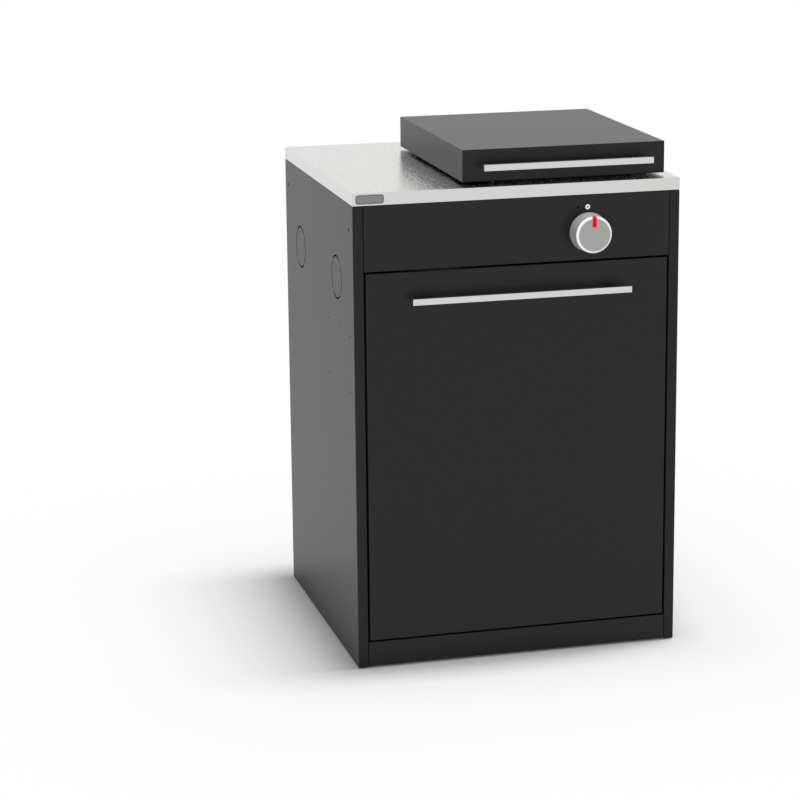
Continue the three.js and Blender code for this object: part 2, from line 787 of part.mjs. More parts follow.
// Igniter: a housing hung in the tray with a red push button in its guide
const igniterTop = worktopTop - seatGap;
const guideRadius = igniter.buttonRadius + igniter.guideGap;
const buttonBottom = trayFloor - igniter.buttonDepth;
const guideBottom = buttonBottom - igniter.travel - seatGap;
add(
  'igniter_housing',
  turned([
    [0, igniterTop - igniter.bodyDepth],
    [igniter.bodyRadius, igniterTop - igniter.bodyDepth],
    [igniter.bodyRadius, igniterTop],
    [igniter.neckRadius, igniterTop],
    [igniter.neckRadius, plateTop + igniter.neckProud],
    [guideRadius, plateTop + igniter.neckProud],
    [guideRadius, guideBottom],
    [0, guideBottom],
  ], [igniterX, igniterY, 0], 'z', smallSides),
  finishes.rubber,
);
const buttonTop = plateTop + igniter.buttonProud;
add(
  'igniter_button',
  rod(igniter.buttonRadius, buttonBottom, buttonTop, [igniterX, igniterY, 0], 'z', smallSides),
  finishes.red,
);

// Knobs: a hollow turned cap with a bevelled face and a hub that takes the spindle

function knobProfile() {
  const socket = spindle.radius + knob.socketGap;
  const hubBottom = knob.gap + knob.hubSetback;
  const ceiling = knobFace - knob.faceWall;
  return [
    [knob.radius + knob.flare - knob.wall, knob.gap],
    [knob.radius + knob.flare, knob.gap],
    [knob.radius, knobFace - knob.bevelDepth],
    [knob.radius - knob.bevelWidth, knobFace],
    [0, knobFace],
    [0, hubBottom + knob.socketDepth],
    [socket, hubBottom + knob.socketDepth],
    [socket, hubBottom],
    [knob.hubRadius, hubBottom],
    [knob.hubRadius, ceiling],
    [knob.radius - knob.wall - knob.bevelWidth, ceiling],
    [knob.radius - knob.wall, ceiling - knob.bevelDepth],
  ];
}
const spindleTop = knob.gap + knob.hubSetback + knob.socketDepth - seatGap;

add('hob_knob', turned(knobProfile(), [hobKnobX, hobKnobY, plateTop]), finishes.knob);
const hobSpindleSeat = worktopTop - plateTop - spindle.seatDepth + spindle.travel;
add(
  'hob_spindle',
  rod(spindle.radius, hobSpindleSeat, spindleTop, [hobKnobX, hobKnobY, plateTop], 'z', smallSides),
  finishes.zinc,
);

// The pointer is let into a slot that runs from near the middle out through the bevel
const slotFloor = knobFace - pointer.depth;
add(
  'front_knob',
  cut(
    turned(knobProfile(), [frontKnobX, 0, frontKnobZ], '-y'),
    block(
      centred(frontKnobX, pointer.width + seatGap * 2),
      [-slotFloor, -knobFace - cutOverrun],
      [frontKnobZ + pointer.inner - seatGap, frontKnobZ + knob.radius + cutOverrun],
    ),
  ),
  finishes.knob,
);
const pointerFace = knobFace + pointer.proud;
const pointerTip = knob.radius - seatGap;
const pointerSide = [
  [slotFloor + seatGap, pointer.inner],
  [pointerFace, pointer.inner],
  [pointerFace, knob.radius - knob.bevelWidth],
  [pointerFace - knob.bevelDepth, pointerTip],
  [slotFloor + seatGap, pointerTip],
];
const pointerBar = new THREE.ExtrudeGeometry(
  new THREE.Shape(pointerSide.map(([reach, up]) => new THREE.Vector2(-reach, frontKnobZ + up))),
  { depth: pointer.width, bevelEnabled: false },
);
pointerBar.applyMatrix4(new THREE.Matrix4().makeBasis(
  new THREE.Vector3(0, 1, 0), new THREE.Vector3(0, 0, 1), new THREE.Vector3(1, 0, 0),
));
pointerBar.translate(frontKnobX - pointer.width / 2, 0, 0);
add('front_knob_pointer', solidOf(pointerBar), finishes.red);
const frontSpindleSeat = -cabinet.sheet - spindle.seatDepth + spindle.travel;
add(
  'front_spindle',
  rod(spindle.radius, frontSpindleSeat, spindleTop, [frontKnobX, 0, frontKnobZ], '-y', smallSides),
  finishes.zinc,
);

// Gas taps and rigid pipes

function tapNeck(radius, length, top) {
  const bore = spindle.radius + knob.socketGap;
  return [
    [0, top - length],
    [radius, top - length],
    [radius, top],
    [bore, top],
    [bore, top - spindle.seatDepth],
    [0, top - spindle.seatDepth],
  ];
}

const hobNeckTop = worktopTop - seatGap;
const hobNeckBottom = hobNeckTop - hobValve.neckLength;
const hobValveBottom = hobNeckBottom - hobValve.height;
add(
  'hob_valve',
  join(
    turned(
      tapNeck(hobValve.neckRadius, hobValve.neckLength + hobValve.height / 2, hobNeckTop),
      [hobKnobX, hobKnobY, 0],
    ),
    block(
      centred(hobKnobX, hobValve.width),
      centred(hobKnobY, hobValve.depth),
      [hobValveBottom, hobNeckBottom],
    ),
  ),
  finishes.brass,
);

const frontNeckTop = -cabinet.sheet - seatGap;
const frontValveFront = cabinet.sheet + seatGap + frontValve.neckLength;
const frontValveRear = frontValveFront + frontValve.depth;
function hoseNozzle() {
  const profile = [[nozzle.bore, nozzle.length], [nozzle.bore, 0], [nozzle.radius, 0]];
  for (let i = nozzle.barbs; i > 0; i -= 1) {
    const start = nozzle.length - i * nozzle.barbPitch;
    profile.push([nozzle.radius, start], [nozzle.barbRadius, start]);
    profile.push([nozzle.radius, start + nozzle.barbPitch]);
  }
  const downwards = profile.map(([r, h]) => [r, -h]);
  const valveMiddle = (frontValveFront + frontValveRear) / 2;
  const nozzleTop = frontKnobZ - frontValve.height / 2 + seatGap;
  return turned(downwards, [frontKnobX, valveMiddle, nozzleTop], 'z', smallSides);
}
add(
  'front_valve',
  join(
    turned(
      tapNeck(frontValve.neckRadius, frontValve.neckLength + frontValve.depth / 2, frontNeckTop),
      [frontKnobX, 0, frontKnobZ], '-y',
    ),
    block(
      centred(frontKnobX, frontValve.width),
      [frontValveFront, frontValveRear],
      centred(frontKnobZ, frontValve.height),
    ),
    hoseNozzle(),
  ),
  finishes.brass,
);

function bentPipe(corners) {
  const path = rounded(corners.map((corner) => new THREE.Vector3(...corner)), pipe.bend);
  return swept(path, pipe.radius, pipe.sides);
}

const supplyStart = frontValveRear + seatGap;
add(
  'supply_pipe',
  bentPipe([
    [frontKnobX, supplyStart, frontKnobZ],
    [frontKnobX, supplyStart + pipe.bend * 2, frontKnobZ],
    [hobKnobX, hobKnobY, frontKnobZ],
    [hobKnobX, hobKnobY, hobValveBottom - seatGap],
  ]),
  finishes.zinc,
);

const outletZ = (hobValveBottom + hobNeckBottom) / 2;
const mixerMouthY = burnerY - mixerFront - seatGap;
add(
  'burner_pipe',
  bentPipe([
    [hobKnobX - hobValve.width / 2 - seatGap, hobKnobY, outletZ],
    [burnerX, hobKnobY, outletZ],
    [burnerX, mixerMouthY - pipe.bend, bossZ],
    [burnerX, mixerMouthY, bossZ],
  ]),
  finishes.zinc,
);

// Lid: a shell open below, two rubber buffers, a bar handle and two hinges

const lidBox = [centred(lidX, lid.width), [lid.frontInset, lidRear], [lidBottom, lidBottom + lid.height]];
add('lid_shell', pan(lidBox, lid.sheet, 2, -1, lid.lip), finishes.black);
for (const { name, side } of hands) {
  const x = lidX + side * (lid.width / 2 - bumper.sideInset);
  const y = lid.frontInset + bumper.frontInset;
  add(
    `lid_buffer_${name}`,
    rod(bumper.radius, worktopTop + seatGap, lidBottom, [x, y, 0], 'z', smallSides),
    finishes.rubber,
  );
}

function barHandle(prefix, middleX, face, middleZ, length) {
  const back = face - bar.reach + bar.depth;
  const barSolid = block(centred(middleX, length), [face - bar.reach, back], centred(middleZ, bar.height));
  add(`${prefix}_handle_bar`, barSolid, finishes.steel);
  for (const { name, side } of hands) {
    const x = middleX + side * (length / 2 - bar.postInset);
    add(
      `${prefix}_handle_post_${name}`,
      rod(bar.postRadius, -face, -back, [x, 0, middleZ], '-y', smallSides),
      finishes.steel,
    );
  }
}
barHandle('lid', lidX, lid.frontInset, lidBottom + lid.height / 2, lidBarLength);

const hingeY = lidRear + hinge.axisBehind;
const hingeZ = lidBottom + hinge.axisAboveLidEdge;
const centreKnuckle = hinge.width * centreKnuckleShare;
const barrelBore = hinge.pinRadius + hinge.pinGap;
function knuckle(from, to, x) {
  return turned(
    [[barrelBore, from], [hinge.barrelRadius, from], [hinge.barrelRadius, to], [barrelBore, to]],
    [x, hingeY, hingeZ], 'x', smallSides,
  );
}
function pinBore(x) {
  const half = hinge.width / 2 + cutOverrun;
  return rod(barrelBore, -half, half, [x, hingeY, hingeZ], 'x', smallSides);
}
for (const { name, side } of hands) {
  const x = lidX + (side * hinge.spread) / 2;
  const plateFront = hingeY + hinge.barrelRadius + hinge.knuckleGap;
  const plateZ = [worktopTop, worktopTop + hinge.leafThickness];
  add(
    `hinge_base_${name}`,
    cut(
      join(
        knuckle(-centreKnuckle / 2, centreKnuckle / 2, x),
        block(centred(x, hinge.width), [plateFront, plateFront + hinge.leafLength], plateZ),
        block(
          centred(x, centreKnuckle),
          [hingeY, plateFront + hinge.leafThickness],
          [worktopTop + seatGap, hingeZ],
        ),
      ),
      pinBore(x),
    ),
    finishes.steel,
  );
  const leafBottom = hingeZ + hinge.barrelRadius + hinge.knuckleGap;
  const leafY = [lidRear + seatGap, lidRear + seatGap + hinge.leafThickness];
  const notchY = [leafY[0] - cutOverrun, leafY[1] + cutOverrun];
  const outerHalf = hinge.width / 2;
  const innerHalf = centreKnuckle / 2 + hinge.knuckleGap;
  const plate = cut(
    block(centred(x, hinge.width), leafY, [hingeZ, leafBottom + hinge.leafLength]),
    block(centred(x, innerHalf * 2), notchY, [hingeZ - cutOverrun, leafBottom]),
  );
  const knuckles = [knuckle(-outerHalf, -innerHalf, x), knuckle(innerHalf, outerHalf, x)];
  add(`hinge_leaf_${name}`, cut(join(plate, ...knuckles), pinBore(x)), finishes.steel);
  add(
    `hinge_pin_${name}`,
    rod(hinge.pinRadius, -outerHalf, outerHalf, [x, hingeY, hingeZ], 'x', smallSides),
    finishes.zinc,
  );
}

// Runners: a bracket on each side panel and three nested channels

for (const { name, side } of hands) {
  const at = (inward) => side * (flangeEdge - inward);
  const web = centred(runnerZ, bracket.webHeight);
  const bracketY = [bracket.frontInset, backFace - bracket.rearGap];
  const plate = [side * sideInner, side * (sideInner - cabinet.sheet)];
  const [lowRoot, highRoot] = web;
  const hat = [
    [at(0), lowRoot],
    [at(0), highRoot],
    [plate[1], highRoot],
    [plate[1], highRoot + bracket.lip],
    [plate[0], highRoot + bracket.lip],
    [plate[0], highRoot - cabinet.sheet],
    [at(-cabinet.sheet), highRoot - cabinet.sheet],
    [at(-cabinet.sheet), lowRoot + cabinet.sheet],
    [plate[0], lowRoot + cabinet.sheet],
    [plate[0], lowRoot - bracket.lip],
    [plate[1], lowRoot - bracket.lip],
    [plate[1], lowRoot],
  ];
  add(`runner_bracket_${name}`, prism(hat, bracketY), finishes.zinc);

  // A channel: its web stands at `webAt`, its lips end at `lipAt`, and `half` is half its height
  const channel = (webAt, lipAt, half) => {
    const inside = webAt + Math.sign(lipAt - webAt) * runner.wall;
    return prism([
      [at(webAt), runnerZ - half],
      [at(lipAt), runnerZ - half],
      [at(lipAt), runnerZ - half + runner.wall],
      [at(inside), runnerZ - half + runner.wall],
      [at(inside), runnerZ + half - runner.wall],
      [at(lipAt), runnerZ + half - runner.wall],
      [at(lipAt), runnerZ + half],
      [at(webAt), runnerZ + half],
    ], [runnerFront, runnerRear]);
  };
  const step = runner.wall + runner.ballGap;
  const outerHalf = runner.height / 2;
  const outerReach = runner.thickness - runner.lipShort;
  add(`runner_outer_${name}`, channel(0, outerReach, outerHalf), finishes.zinc);
  add(`runner_middle_${name}`, channel(step, outerReach - runner.ballGap, outerHalf - step), finishes.zinc);
  add(
    `runner_inner_${name}`,
    channel(runner.thickness, step + runner.innerLipShort, outerHalf - step * 2),
    finishes.zinc,
  );
}

// Pull-out: a double-skinned front, a bar handle, two side frames and a bottle tray

const drawerBox = [[-drawerHalf, drawerHalf], [0, drawer.depth], [drawerBottom, drawerTop]];
add('drawer_front', pan(drawerBox, cabinet.sheet, 1, 1, drawer.lip), finishes.black);
const linerHalf = drawerHalf - drawer.linerInset;
add(
  'drawer_liner',
  block(
    [-linerHalf, linerHalf],
    [drawer.depth, drawer.depth + cabinet.sheet],
    [drawerBottom + drawer.linerInset, drawerTop - drawer.linerInset],
  ),
  finishes.black,
);
barHandle('drawer', 0, 0, drawerTop - drawerBarBelowTop, drawerBarLength);

const frameFront = drawer.depth + cabinet.sheet + seatGap;
const frameRear = backFace - drawer.rearGap;
const bottleTrayBottom = plinth.top + drawer.floorGap;
const frameBottom = bottleTrayBottom + frame.bottomGap;
const frameTop = runnerZ + frame.bandHeight / 2;
for (const { name, side } of hands) {
  const at = (inward) => side * (frameOuter - inward);
  const windowY = [frameFront + frame.frontPost, frameRear - frame.rearPost];
  const windowZ = [frameBottom + frame.bottomBand, frameTop - frame.bandHeight];
  add(
    `side_frame_${name}`,
    cut(
      block([at(0), at(frame.flange)], [frameFront, frameRear], [frameBottom, frameTop]),
      block(
        [at(cabinet.sheet), at(frame.flange + cutOverrun)],
        [frameFront + cabinet.sheet, frameRear + cutOverrun],
        [frameBottom - cutOverrun, frameTop + cutOverrun],
      ),
      block([at(-cutOverrun), at(frame.flange + cutOverrun)], windowY, windowZ),
    ),
    finishes.zinc,
  );
}

// The tray is open at the front as well as above: its floor ends behind the front's inner skin
const bottleHalf = frameOuter - cabinet.sheet - drawer.traySideGap;
const bottleTrayFront = frameFront + cabinet.sheet + seatGap;
const bottleTrayTop = bottleTrayBottom + drawer.trayHeight;
add(
  'bottle_tray',
  cut(
    block([-bottleHalf, bottleHalf], [bottleTrayFront, frameRear], [bottleTrayBottom, bottleTrayTop]),
    block(
      [cabinet.sheet - bottleHalf, bottleHalf - cabinet.sheet],
      [bottleTrayFront - cutOverrun, frameRear - cabinet.sheet],
      [bottleTrayBottom + cabinet.sheet, bottleTrayTop + cutOverrun],
    ),
  ),
  finishes.zinc,
);

export default island;
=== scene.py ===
"""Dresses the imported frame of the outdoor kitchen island: shapes, finishes, light and camera."""

import logging
import math
from collections.abc import Iterable, Sequence
from dataclasses import dataclass, field, replace
from enum import Enum
from typing import ClassVar

import bmesh
import bpy
from mathutils import Matrix, Vector


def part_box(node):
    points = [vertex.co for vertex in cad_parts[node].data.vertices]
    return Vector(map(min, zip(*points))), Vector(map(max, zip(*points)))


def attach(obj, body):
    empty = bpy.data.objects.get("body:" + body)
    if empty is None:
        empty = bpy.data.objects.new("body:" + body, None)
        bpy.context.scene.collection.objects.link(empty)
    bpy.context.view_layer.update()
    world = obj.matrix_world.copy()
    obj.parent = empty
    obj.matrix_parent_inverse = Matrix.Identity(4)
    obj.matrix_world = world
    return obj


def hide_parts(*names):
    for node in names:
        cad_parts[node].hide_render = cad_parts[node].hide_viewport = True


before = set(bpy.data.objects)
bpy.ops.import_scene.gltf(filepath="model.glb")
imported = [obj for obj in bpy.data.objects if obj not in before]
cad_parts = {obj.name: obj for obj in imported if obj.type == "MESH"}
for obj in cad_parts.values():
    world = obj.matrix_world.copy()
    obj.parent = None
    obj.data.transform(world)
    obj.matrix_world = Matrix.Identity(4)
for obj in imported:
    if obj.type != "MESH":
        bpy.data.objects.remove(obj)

LOG = logging.getLogger("kitchen_island")
MM = 0.001
ROOT = "root"
PULL_OUT = "pull_out"
MIDDLE = "middle_runners"
LID = "lid"
SHARP_ANGLE = math.radians(28)
MERGE_GAP = 1e-6
FACE_SLACK = 1e-5
FACING = 0.5
SHEET = 1.5 * MM
SEAT_GAP = 0.3 * MM
OVERRUN = 5 * MM
REARWARD = Vector((0, 1, 0))
UPWARD = Vector((0, 0, 1))
DOWNWARD = Vector((0, 0, -1))
FULL_TURN = 2 * math.pi

Pair = tuple[float, float]
Triple = tuple[float, float, float]
Profile = Sequence[Pair]
Solid = bmesh.types.BMesh
NodePlan = dict[str, tuple[str, dict[str | int, object]]]
Links = Sequence[tuple[str, str]]


def mm(*corners: Pair) -> tuple[Pair, ...]:
    """The corners of a profile, given in millimetres, in metres."""
    return tuple((across * MM, along * MM) for across, along in corners)


class Side(Enum):
    """A side of the island, as the way that it lies along X."""

    LEFT = -1
    RIGHT = 1

    @property
    def label(self) -> str:
        """Its word in the names of pieces."""
        return self.name.lower()

    @property
    def other(self) -> "Side":
        """The opposite side."""
        return Side(-self.value)


class Axis(Enum):
    """The way that a turned or drawn shape's own +Z points, as a turn in degrees about an axis."""

    UP = ("X", 0)
    FRONT = ("X", 90)
    REAR = ("X", -90)
    RIGHT = ("Y", 90)

    def matrix(self) -> Matrix:
        """The turn from +Z to this direction."""
        about, degrees = self.value
        return Matrix.Rotation(math.radians(degrees), 4, about)


@dataclass(frozen=True)
class Extent:
    """A box in the part's frame, in metres."""

    low: Vector
    high: Vector

    @classmethod
    def of(cls, node: str) -> "Extent":
        """The box of a CAD node."""
        low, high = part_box(node)
        return cls(Vector(low), Vector(high))

    @classmethod
    def between(cls, low: Sequence[float], high: Sequence[float]) -> "Extent":
        """The box between two corners."""
        return cls(Vector(low), Vector(high))

    @property
    def centre(self) -> Vector:
        """The middle of the box."""
        return (self.low + self.high) / 2

    @property
    def base(self) -> Vector:
        """The middle of the box's underside."""
        return Vector((self.centre.x, self.centre.y, self.low.z))

    @property
    def plumb(self) -> Vector:
        """The point on the ground under the box's middle."""
        return Vector((self.centre.x, self.centre.y, 0))

    @property
    def size(self) -> Vector:
        """The three side lengths."""
        return self.high - self.low

    def outer_first(self, side: Side) -> Pair:
        """The places along X of its outer and its inner face, for a box on a side of the island."""
        return (self.low.x, self.high.x) if side is Side.LEFT else (self.high.x, self.low.x)


class Mill:
    """Makes bmesh shapes with operators, in the part's frame."""

    BEND_STEP: ClassVar[float] = math.radians(9)

    @staticmethod
    def block(extent: Extent, edge: float = 0.0, steps: int = 2) -> Solid:
        """A box with rounded edges.

        Args:
            extent: the box.
            edge: the width of the rounding, zero for none.
            steps: the segments of the rounding.

        Returns:
            The box as a bmesh.
        """
        bm = bmesh.new()
        bmesh.ops.create_cube(bm, size=1.0)
        bmesh.ops.scale(bm, vec=extent.size, verts=bm.verts)
        bmesh.ops.translate(bm, vec=extent.centre, verts=bm.verts)
        Mill.soften(bm, edge, steps)
        return bm

    @staticmethod
    def bevel(bm: Solid, edges: Sequence[bmesh.types.BMEdge], width: float, steps: int) -> None:
        """Rounds edges of a shape.

        Args:
            bm: the shape.
            edges: the edges to round.
            width: how far the rounding reaches from each.
            steps: its segments.
        """
        bmesh.ops.bevel(
            bm, geom=edges, offset=width, segments=steps, profile=0.5, affect="EDGES", material=-1,
            clamp_overlap=True,
        )

    @staticmethod
    def soften(bm: Solid, width: float, steps: int = 2) -> None:
        """Rounds the sharp edges of a shape.

        Args:
            bm: the shape.
            width: how far the rounding reaches from the edge, zero for none.
            steps: its segments.
        """
        if width == 0:
            return
        bm.normal_update()
        edges = [e for e in bm.edges if len(e.link_faces) == 2 and e.calc_face_angle(0) > SHARP_ANGLE]
        Mill.bevel(bm, edges, width, steps)

    @staticmethod
    def rounded_corners(extent: Extent, along: int, radius: float, steps: int) -> Solid:
        """A box whose four edges along one axis are rounded.

        Args:
            extent: the box.
            along: the axis, 0 to 2.
            radius: of the rounding.
            steps: its segments.

        Returns:
            The box.
        """
        bm = Mill.block(extent)
        reach = extent.size[along] / 2
        edges = [e for e in bm.edges if abs((e.verts[0].co - e.verts[1].co)[along]) > reach]
        Mill.bevel(bm, edges, radius, steps)
        return bm

    @staticmethod
    def turned(
        profile: Profile, place: Vector, axis: Axis, steps: int, edge: float = 0.0,
    ) -> Solid:
        """A shape turned on a lathe.

        Args:
            profile: radius and height of each corner, closed on itself or from axis to axis.
            place: where height zero is on the axis.
            axis: the way the height grows.
            steps: the sides of the turn.
            edge: the rounding of its corners.

        Returns:
            The turned shape.
        """
        bm = bmesh.new()
        points = [bm.verts.new((r, 0, h)) for r, h in profile]
        on_axis = profile[0][0] == 0 and profile[-1][0] == 0
        pairs = zip(points, points[1:] if on_axis else points[1:] + points[:1])
        edges = [bm.edges.new(pair) for pair in list(pairs)]
        bmesh.ops.spin(
            bm, geom=points + edges, cent=(0, 0, 0), axis=UPWARD, angle=FULL_TURN, steps=steps,
            use_merge=True, use_normal_flip=False, use_duplicate=False,
        )
        bmesh.ops.remove_doubles(bm, verts=bm.verts, dist=MERGE_GAP)
        bmesh.ops.recalc_face_normals(bm, faces=bm.faces)
        Mill.soften(bm, edge)
        bmesh.ops.transform(bm, matrix=Matrix.Translation(place) @ axis.matrix(), verts=bm.verts)
        return bm

    @staticmethod
    def rod(place: Vector, axis: Axis, radius: float, length: float, steps: int, edge: float = 0.0) -> Solid:
        """A round rod, also used as a drill, that runs from a place along an axis."""
        return Mill.turned([(0, 0), (radius, 0), (radius, length), (0, length)], place, axis, steps, edge)

    @staticmethod
    def tube(place: Vector, axis: Axis, radii: Pair, reach: Pair, steps: int, edge: float = 0.0) -> Solid:
        """A tube between an inner and an outer radius and between two places along its axis."""
        (low, high), (start, end) = radii, reach
        return Mill.turned([(low, start), (high, start), (high, end), (low, end)], place, axis, steps, edge)

    @staticmethod
    def drawn(outline: Sequence[Vector], along: Vector, edge: float = 0.0, edge_steps: int = 2) -> Solid:
        """A flat outline drawn out to a solid.

        Args:
            outline: the corners of a flat face.
            along: how far and which way it is drawn.
            edge: the rounding of its edges.
            edge_steps: the segments of that rounding.

        Returns:
            The drawn solid.
        """
        bm = bmesh.new()
        face = bm.faces.new([bm.verts.new(corner) for corner in outline])
        made = bmesh.ops.extrude_face_region(bm, geom=[face])
        moved = [v for v in made["geom"] if isinstance(v, bmesh.types.BMVert)]
        bmesh.ops.translate(bm, vec=along, verts=moved)
        bmesh.ops.recalc_face_normals(bm, faces=bm.faces)
        Mill.soften(bm, edge, edge_steps)
        return bm

    @staticmethod
    def channel(extent: Extent, outline: Profile, edge: float) -> Solid:
        """A folded section, given by its corners across and up, drawn out over the depth of a box."""
        corners = [Vector((x, extent.low.y, z)) for x, z in outline]
        return Mill.drawn(corners, Vector((0, extent.size.y, 0)), edge)

    @staticmethod
    def joined(shapes: Iterable[Solid]) -> Solid:
        """Several shapes as the parts of one mesh.

        Args:
            shapes: the shapes, which are used up.

        Returns:
            The mesh that holds them all.
        """
        whole = bmesh.new()
        for shape in shapes:
            loose = bpy.data.meshes.new("joining")
            shape.to_mesh(loose)
            shape.free()
            whole.from_mesh(loose)
            bpy.data.meshes.remove(loose)
        return whole

    @staticmethod
    def wire(path: Sequence[Vector], radius: float, name: str, steps: int) -> Solid:
        """A round wire or pipe along a path, from a bevelled curve.

        Args:
            path: the points of its centre line.
            radius: of its section.
            name: for the curve while it exists.
            steps: how fine the section is.

        Returns:
            The wire, closed at both ends.
        """
        curve = bpy.data.curves.new(name, "CURVE")
        curve.dimensions = "3D"
        curve.bevel_depth = radius
        curve.bevel_resolution = steps
        curve.use_fill_caps = True
        spline = curve.splines.new("POLY")
        spline.points.add(len(path) - 1)
        for point, place in zip(spline.points, path):
            point.co = (*place, 1)
        holder = bpy.data.objects.new(name, curve)
        bpy.context.scene.collection.objects.link(holder)
        bm = Mill.evaluated(holder)
        bpy.data.objects.remove(holder)
        bpy.data.curves.remove(curve)
        bmesh.ops.remove_doubles(bm, verts=bm.verts, dist=MERGE_GAP)
        bmesh.ops.recalc_face_normals(bm, faces=bm.faces)
        return bm

    @staticmethod
    def evaluated(holder: bpy.types.Object) -> Solid:
        """The shape of an object with its modifiers.

        Args:
            holder: the object, linked to the scene.

        Returns:
            The shape.
        """
        bpy.context.view_layer.update()
        graph = bpy.context.evaluated_depsgraph_get()
        mesh = bpy.data.meshes.new_from_object(holder.evaluated_get(graph), depsgraph=graph)
        bm = bmesh.new()
        bm.from_mesh(mesh)
        bpy.data.meshes.remove(mesh)
        return bm

    @staticmethod
    def held(bm: Solid, name: str) -> bpy.types.Object:
        """A shape as an object in the scene.

        Args:
            bm: the shape, which is used up.
            name: for the object and its mesh.

        Returns:
            The object.
        """
        mesh = bpy.data.meshes.new(name)
        bm.to_mesh(mesh)
        bm.free()
        holder = bpy.data.objects.new(name, mesh)
        bpy.context.scene.collection.objects.link(holder)
        return holder

    @staticmethod
    def modified(bm: Solid, kind: str, **settings: object) -> Solid:
        """The shape after one modifier; the shape is used up.

        Args:
            bm: the shape.
            kind: the modifier's type.
            settings: its properties.

        Returns:
            The changed shape.
        """
        holder = Mill.held(bm, "working")
        modifier = holder.modifiers.new(kind.lower(), kind)
        for key, value in settings.items():
            setattr(modifier, key, value)
        result = Mill.evaluated(holder)
        bpy.data.meshes.remove(holder.data)
        return result

    @staticmethod
    def thickened(bm: Solid) -> Solid:
        """A folded skin with the sheet's thickness inside it.

        Args:
            bm: the skin, which is used up.

        Returns:
            The sheet.
        """
        return Mill.modified(
            bm, "SOLIDIFY", thickness=SHEET, offset=-1, use_even_offset=True, use_quality_normals=True,
        )

    @staticmethod
    def carved(bm: Solid, tools: Iterable[Solid]) -> Solid:
        """The shape with tools cut out of it.

        Args:
            bm: the shape, which is used up.
            tools: the cutters, which are used up.

        Returns:
            What is left of the shape.
        """
        holder = Mill.held(Mill.joined(tools), "tools")
        result = Mill.modified(bm, "BOOLEAN", operation="DIFFERENCE", object=holder, solver="EXACT")
        bpy.data.meshes.remove(holder.data)
        return result

    @staticmethod
    def rounded_path(corners: Sequence[Vector], bend: float) -> list[Vector]:
        """A path with its corners bent to a radius.

        Args:
            corners: the straight path.
            bend: the radius of the centre line in a bend.

        Returns:
            The points of the bent path.
        """
        path = [corners[0]]
        for before, corner, after in zip(corners, corners[1:], corners[2:]):
            back = (before - corner).normalized()
            ahead = (after - corner).normalized()
            half = back.angle(ahead) / 2
            centre = corner + (back + ahead).normalized() * (bend / math.sin(half))
            start = corner + back * (bend / math.tan(half)) - centre
            finish = corner + ahead * (bend / math.tan(half)) - centre
            turn = start.angle(finish)
            spin = start.cross(finish).normalized()
            count = max(2, math.ceil(turn / Mill.BEND_STEP))
            for k in range(count + 1):
                path.append(centre + Matrix.Rotation(turn * k / count, 3, spin) @ start)
        return [*path, corners[-1]]


@dataclass(frozen=True)
class FoldedPan:
    """A box folded from sheet, open on one side."""

    extent: Extent
    opening: Vector
    lip: float = 0.0
    fold: float = 1.6 * MM
    fold_steps: int = 3
    missing: Vector | None = None

    def build(self) -> Solid:
        """A box with its mouth inset and opened, its folds rounded, and the sheet's thickness inside.

        Returns:
            The pan.
        """
        bm = Mill.block(self.extent)
        bm.normal_update()
        mouth = max(bm.faces, key=lambda face: face.normal.dot(self.opening))
        if self.lip > 0:
            bmesh.ops.inset_region(bm, faces=[mouth], thickness=self.lip, use_even_offset=True)
        gone = [mouth]
        if self.missing is not None:
            gone.append(max(bm.faces, key=lambda face: face.normal.dot(self.missing)))
        bmesh.ops.delete(bm, geom=gone, context="FACES")
        Mill.soften(bm, self.fold, self.fold_steps)
        return Mill.thickened(bm)


def lay_nodes(tree: bpy.types.NodeTree, plan: NodePlan, links: Links, **laid: bpy.types.Node) -> None:
    """Adds nodes to a tree and links them.

    Args:
        tree: the tree.
        plan: for each label the node's type and its settings; a key that is a number or has a capital
            is an input's, any other a property's.
        links: pairs of label.output and label.input, where a socket is named or numbered.
        laid: nodes that are in the tree already.
    """
    for label, (kind, settings) in plan.items():
        node = laid[label] = tree.nodes.new(f"ShaderNode{kind}")
        for key, value in settings.items():
            if isinstance(key, int) or key[0].isupper():
                node.inputs[key].default_value = value
            else:
                setattr(node, key, value)
    for pair in links:
        (giver, output), (taker, entry) = (spot.split(".") for spot in pair)
        socket = laid[taker].inputs[int(entry) if entry.isdigit() else entry]
        tree.links.new(laid[giver].outputs[output], socket)


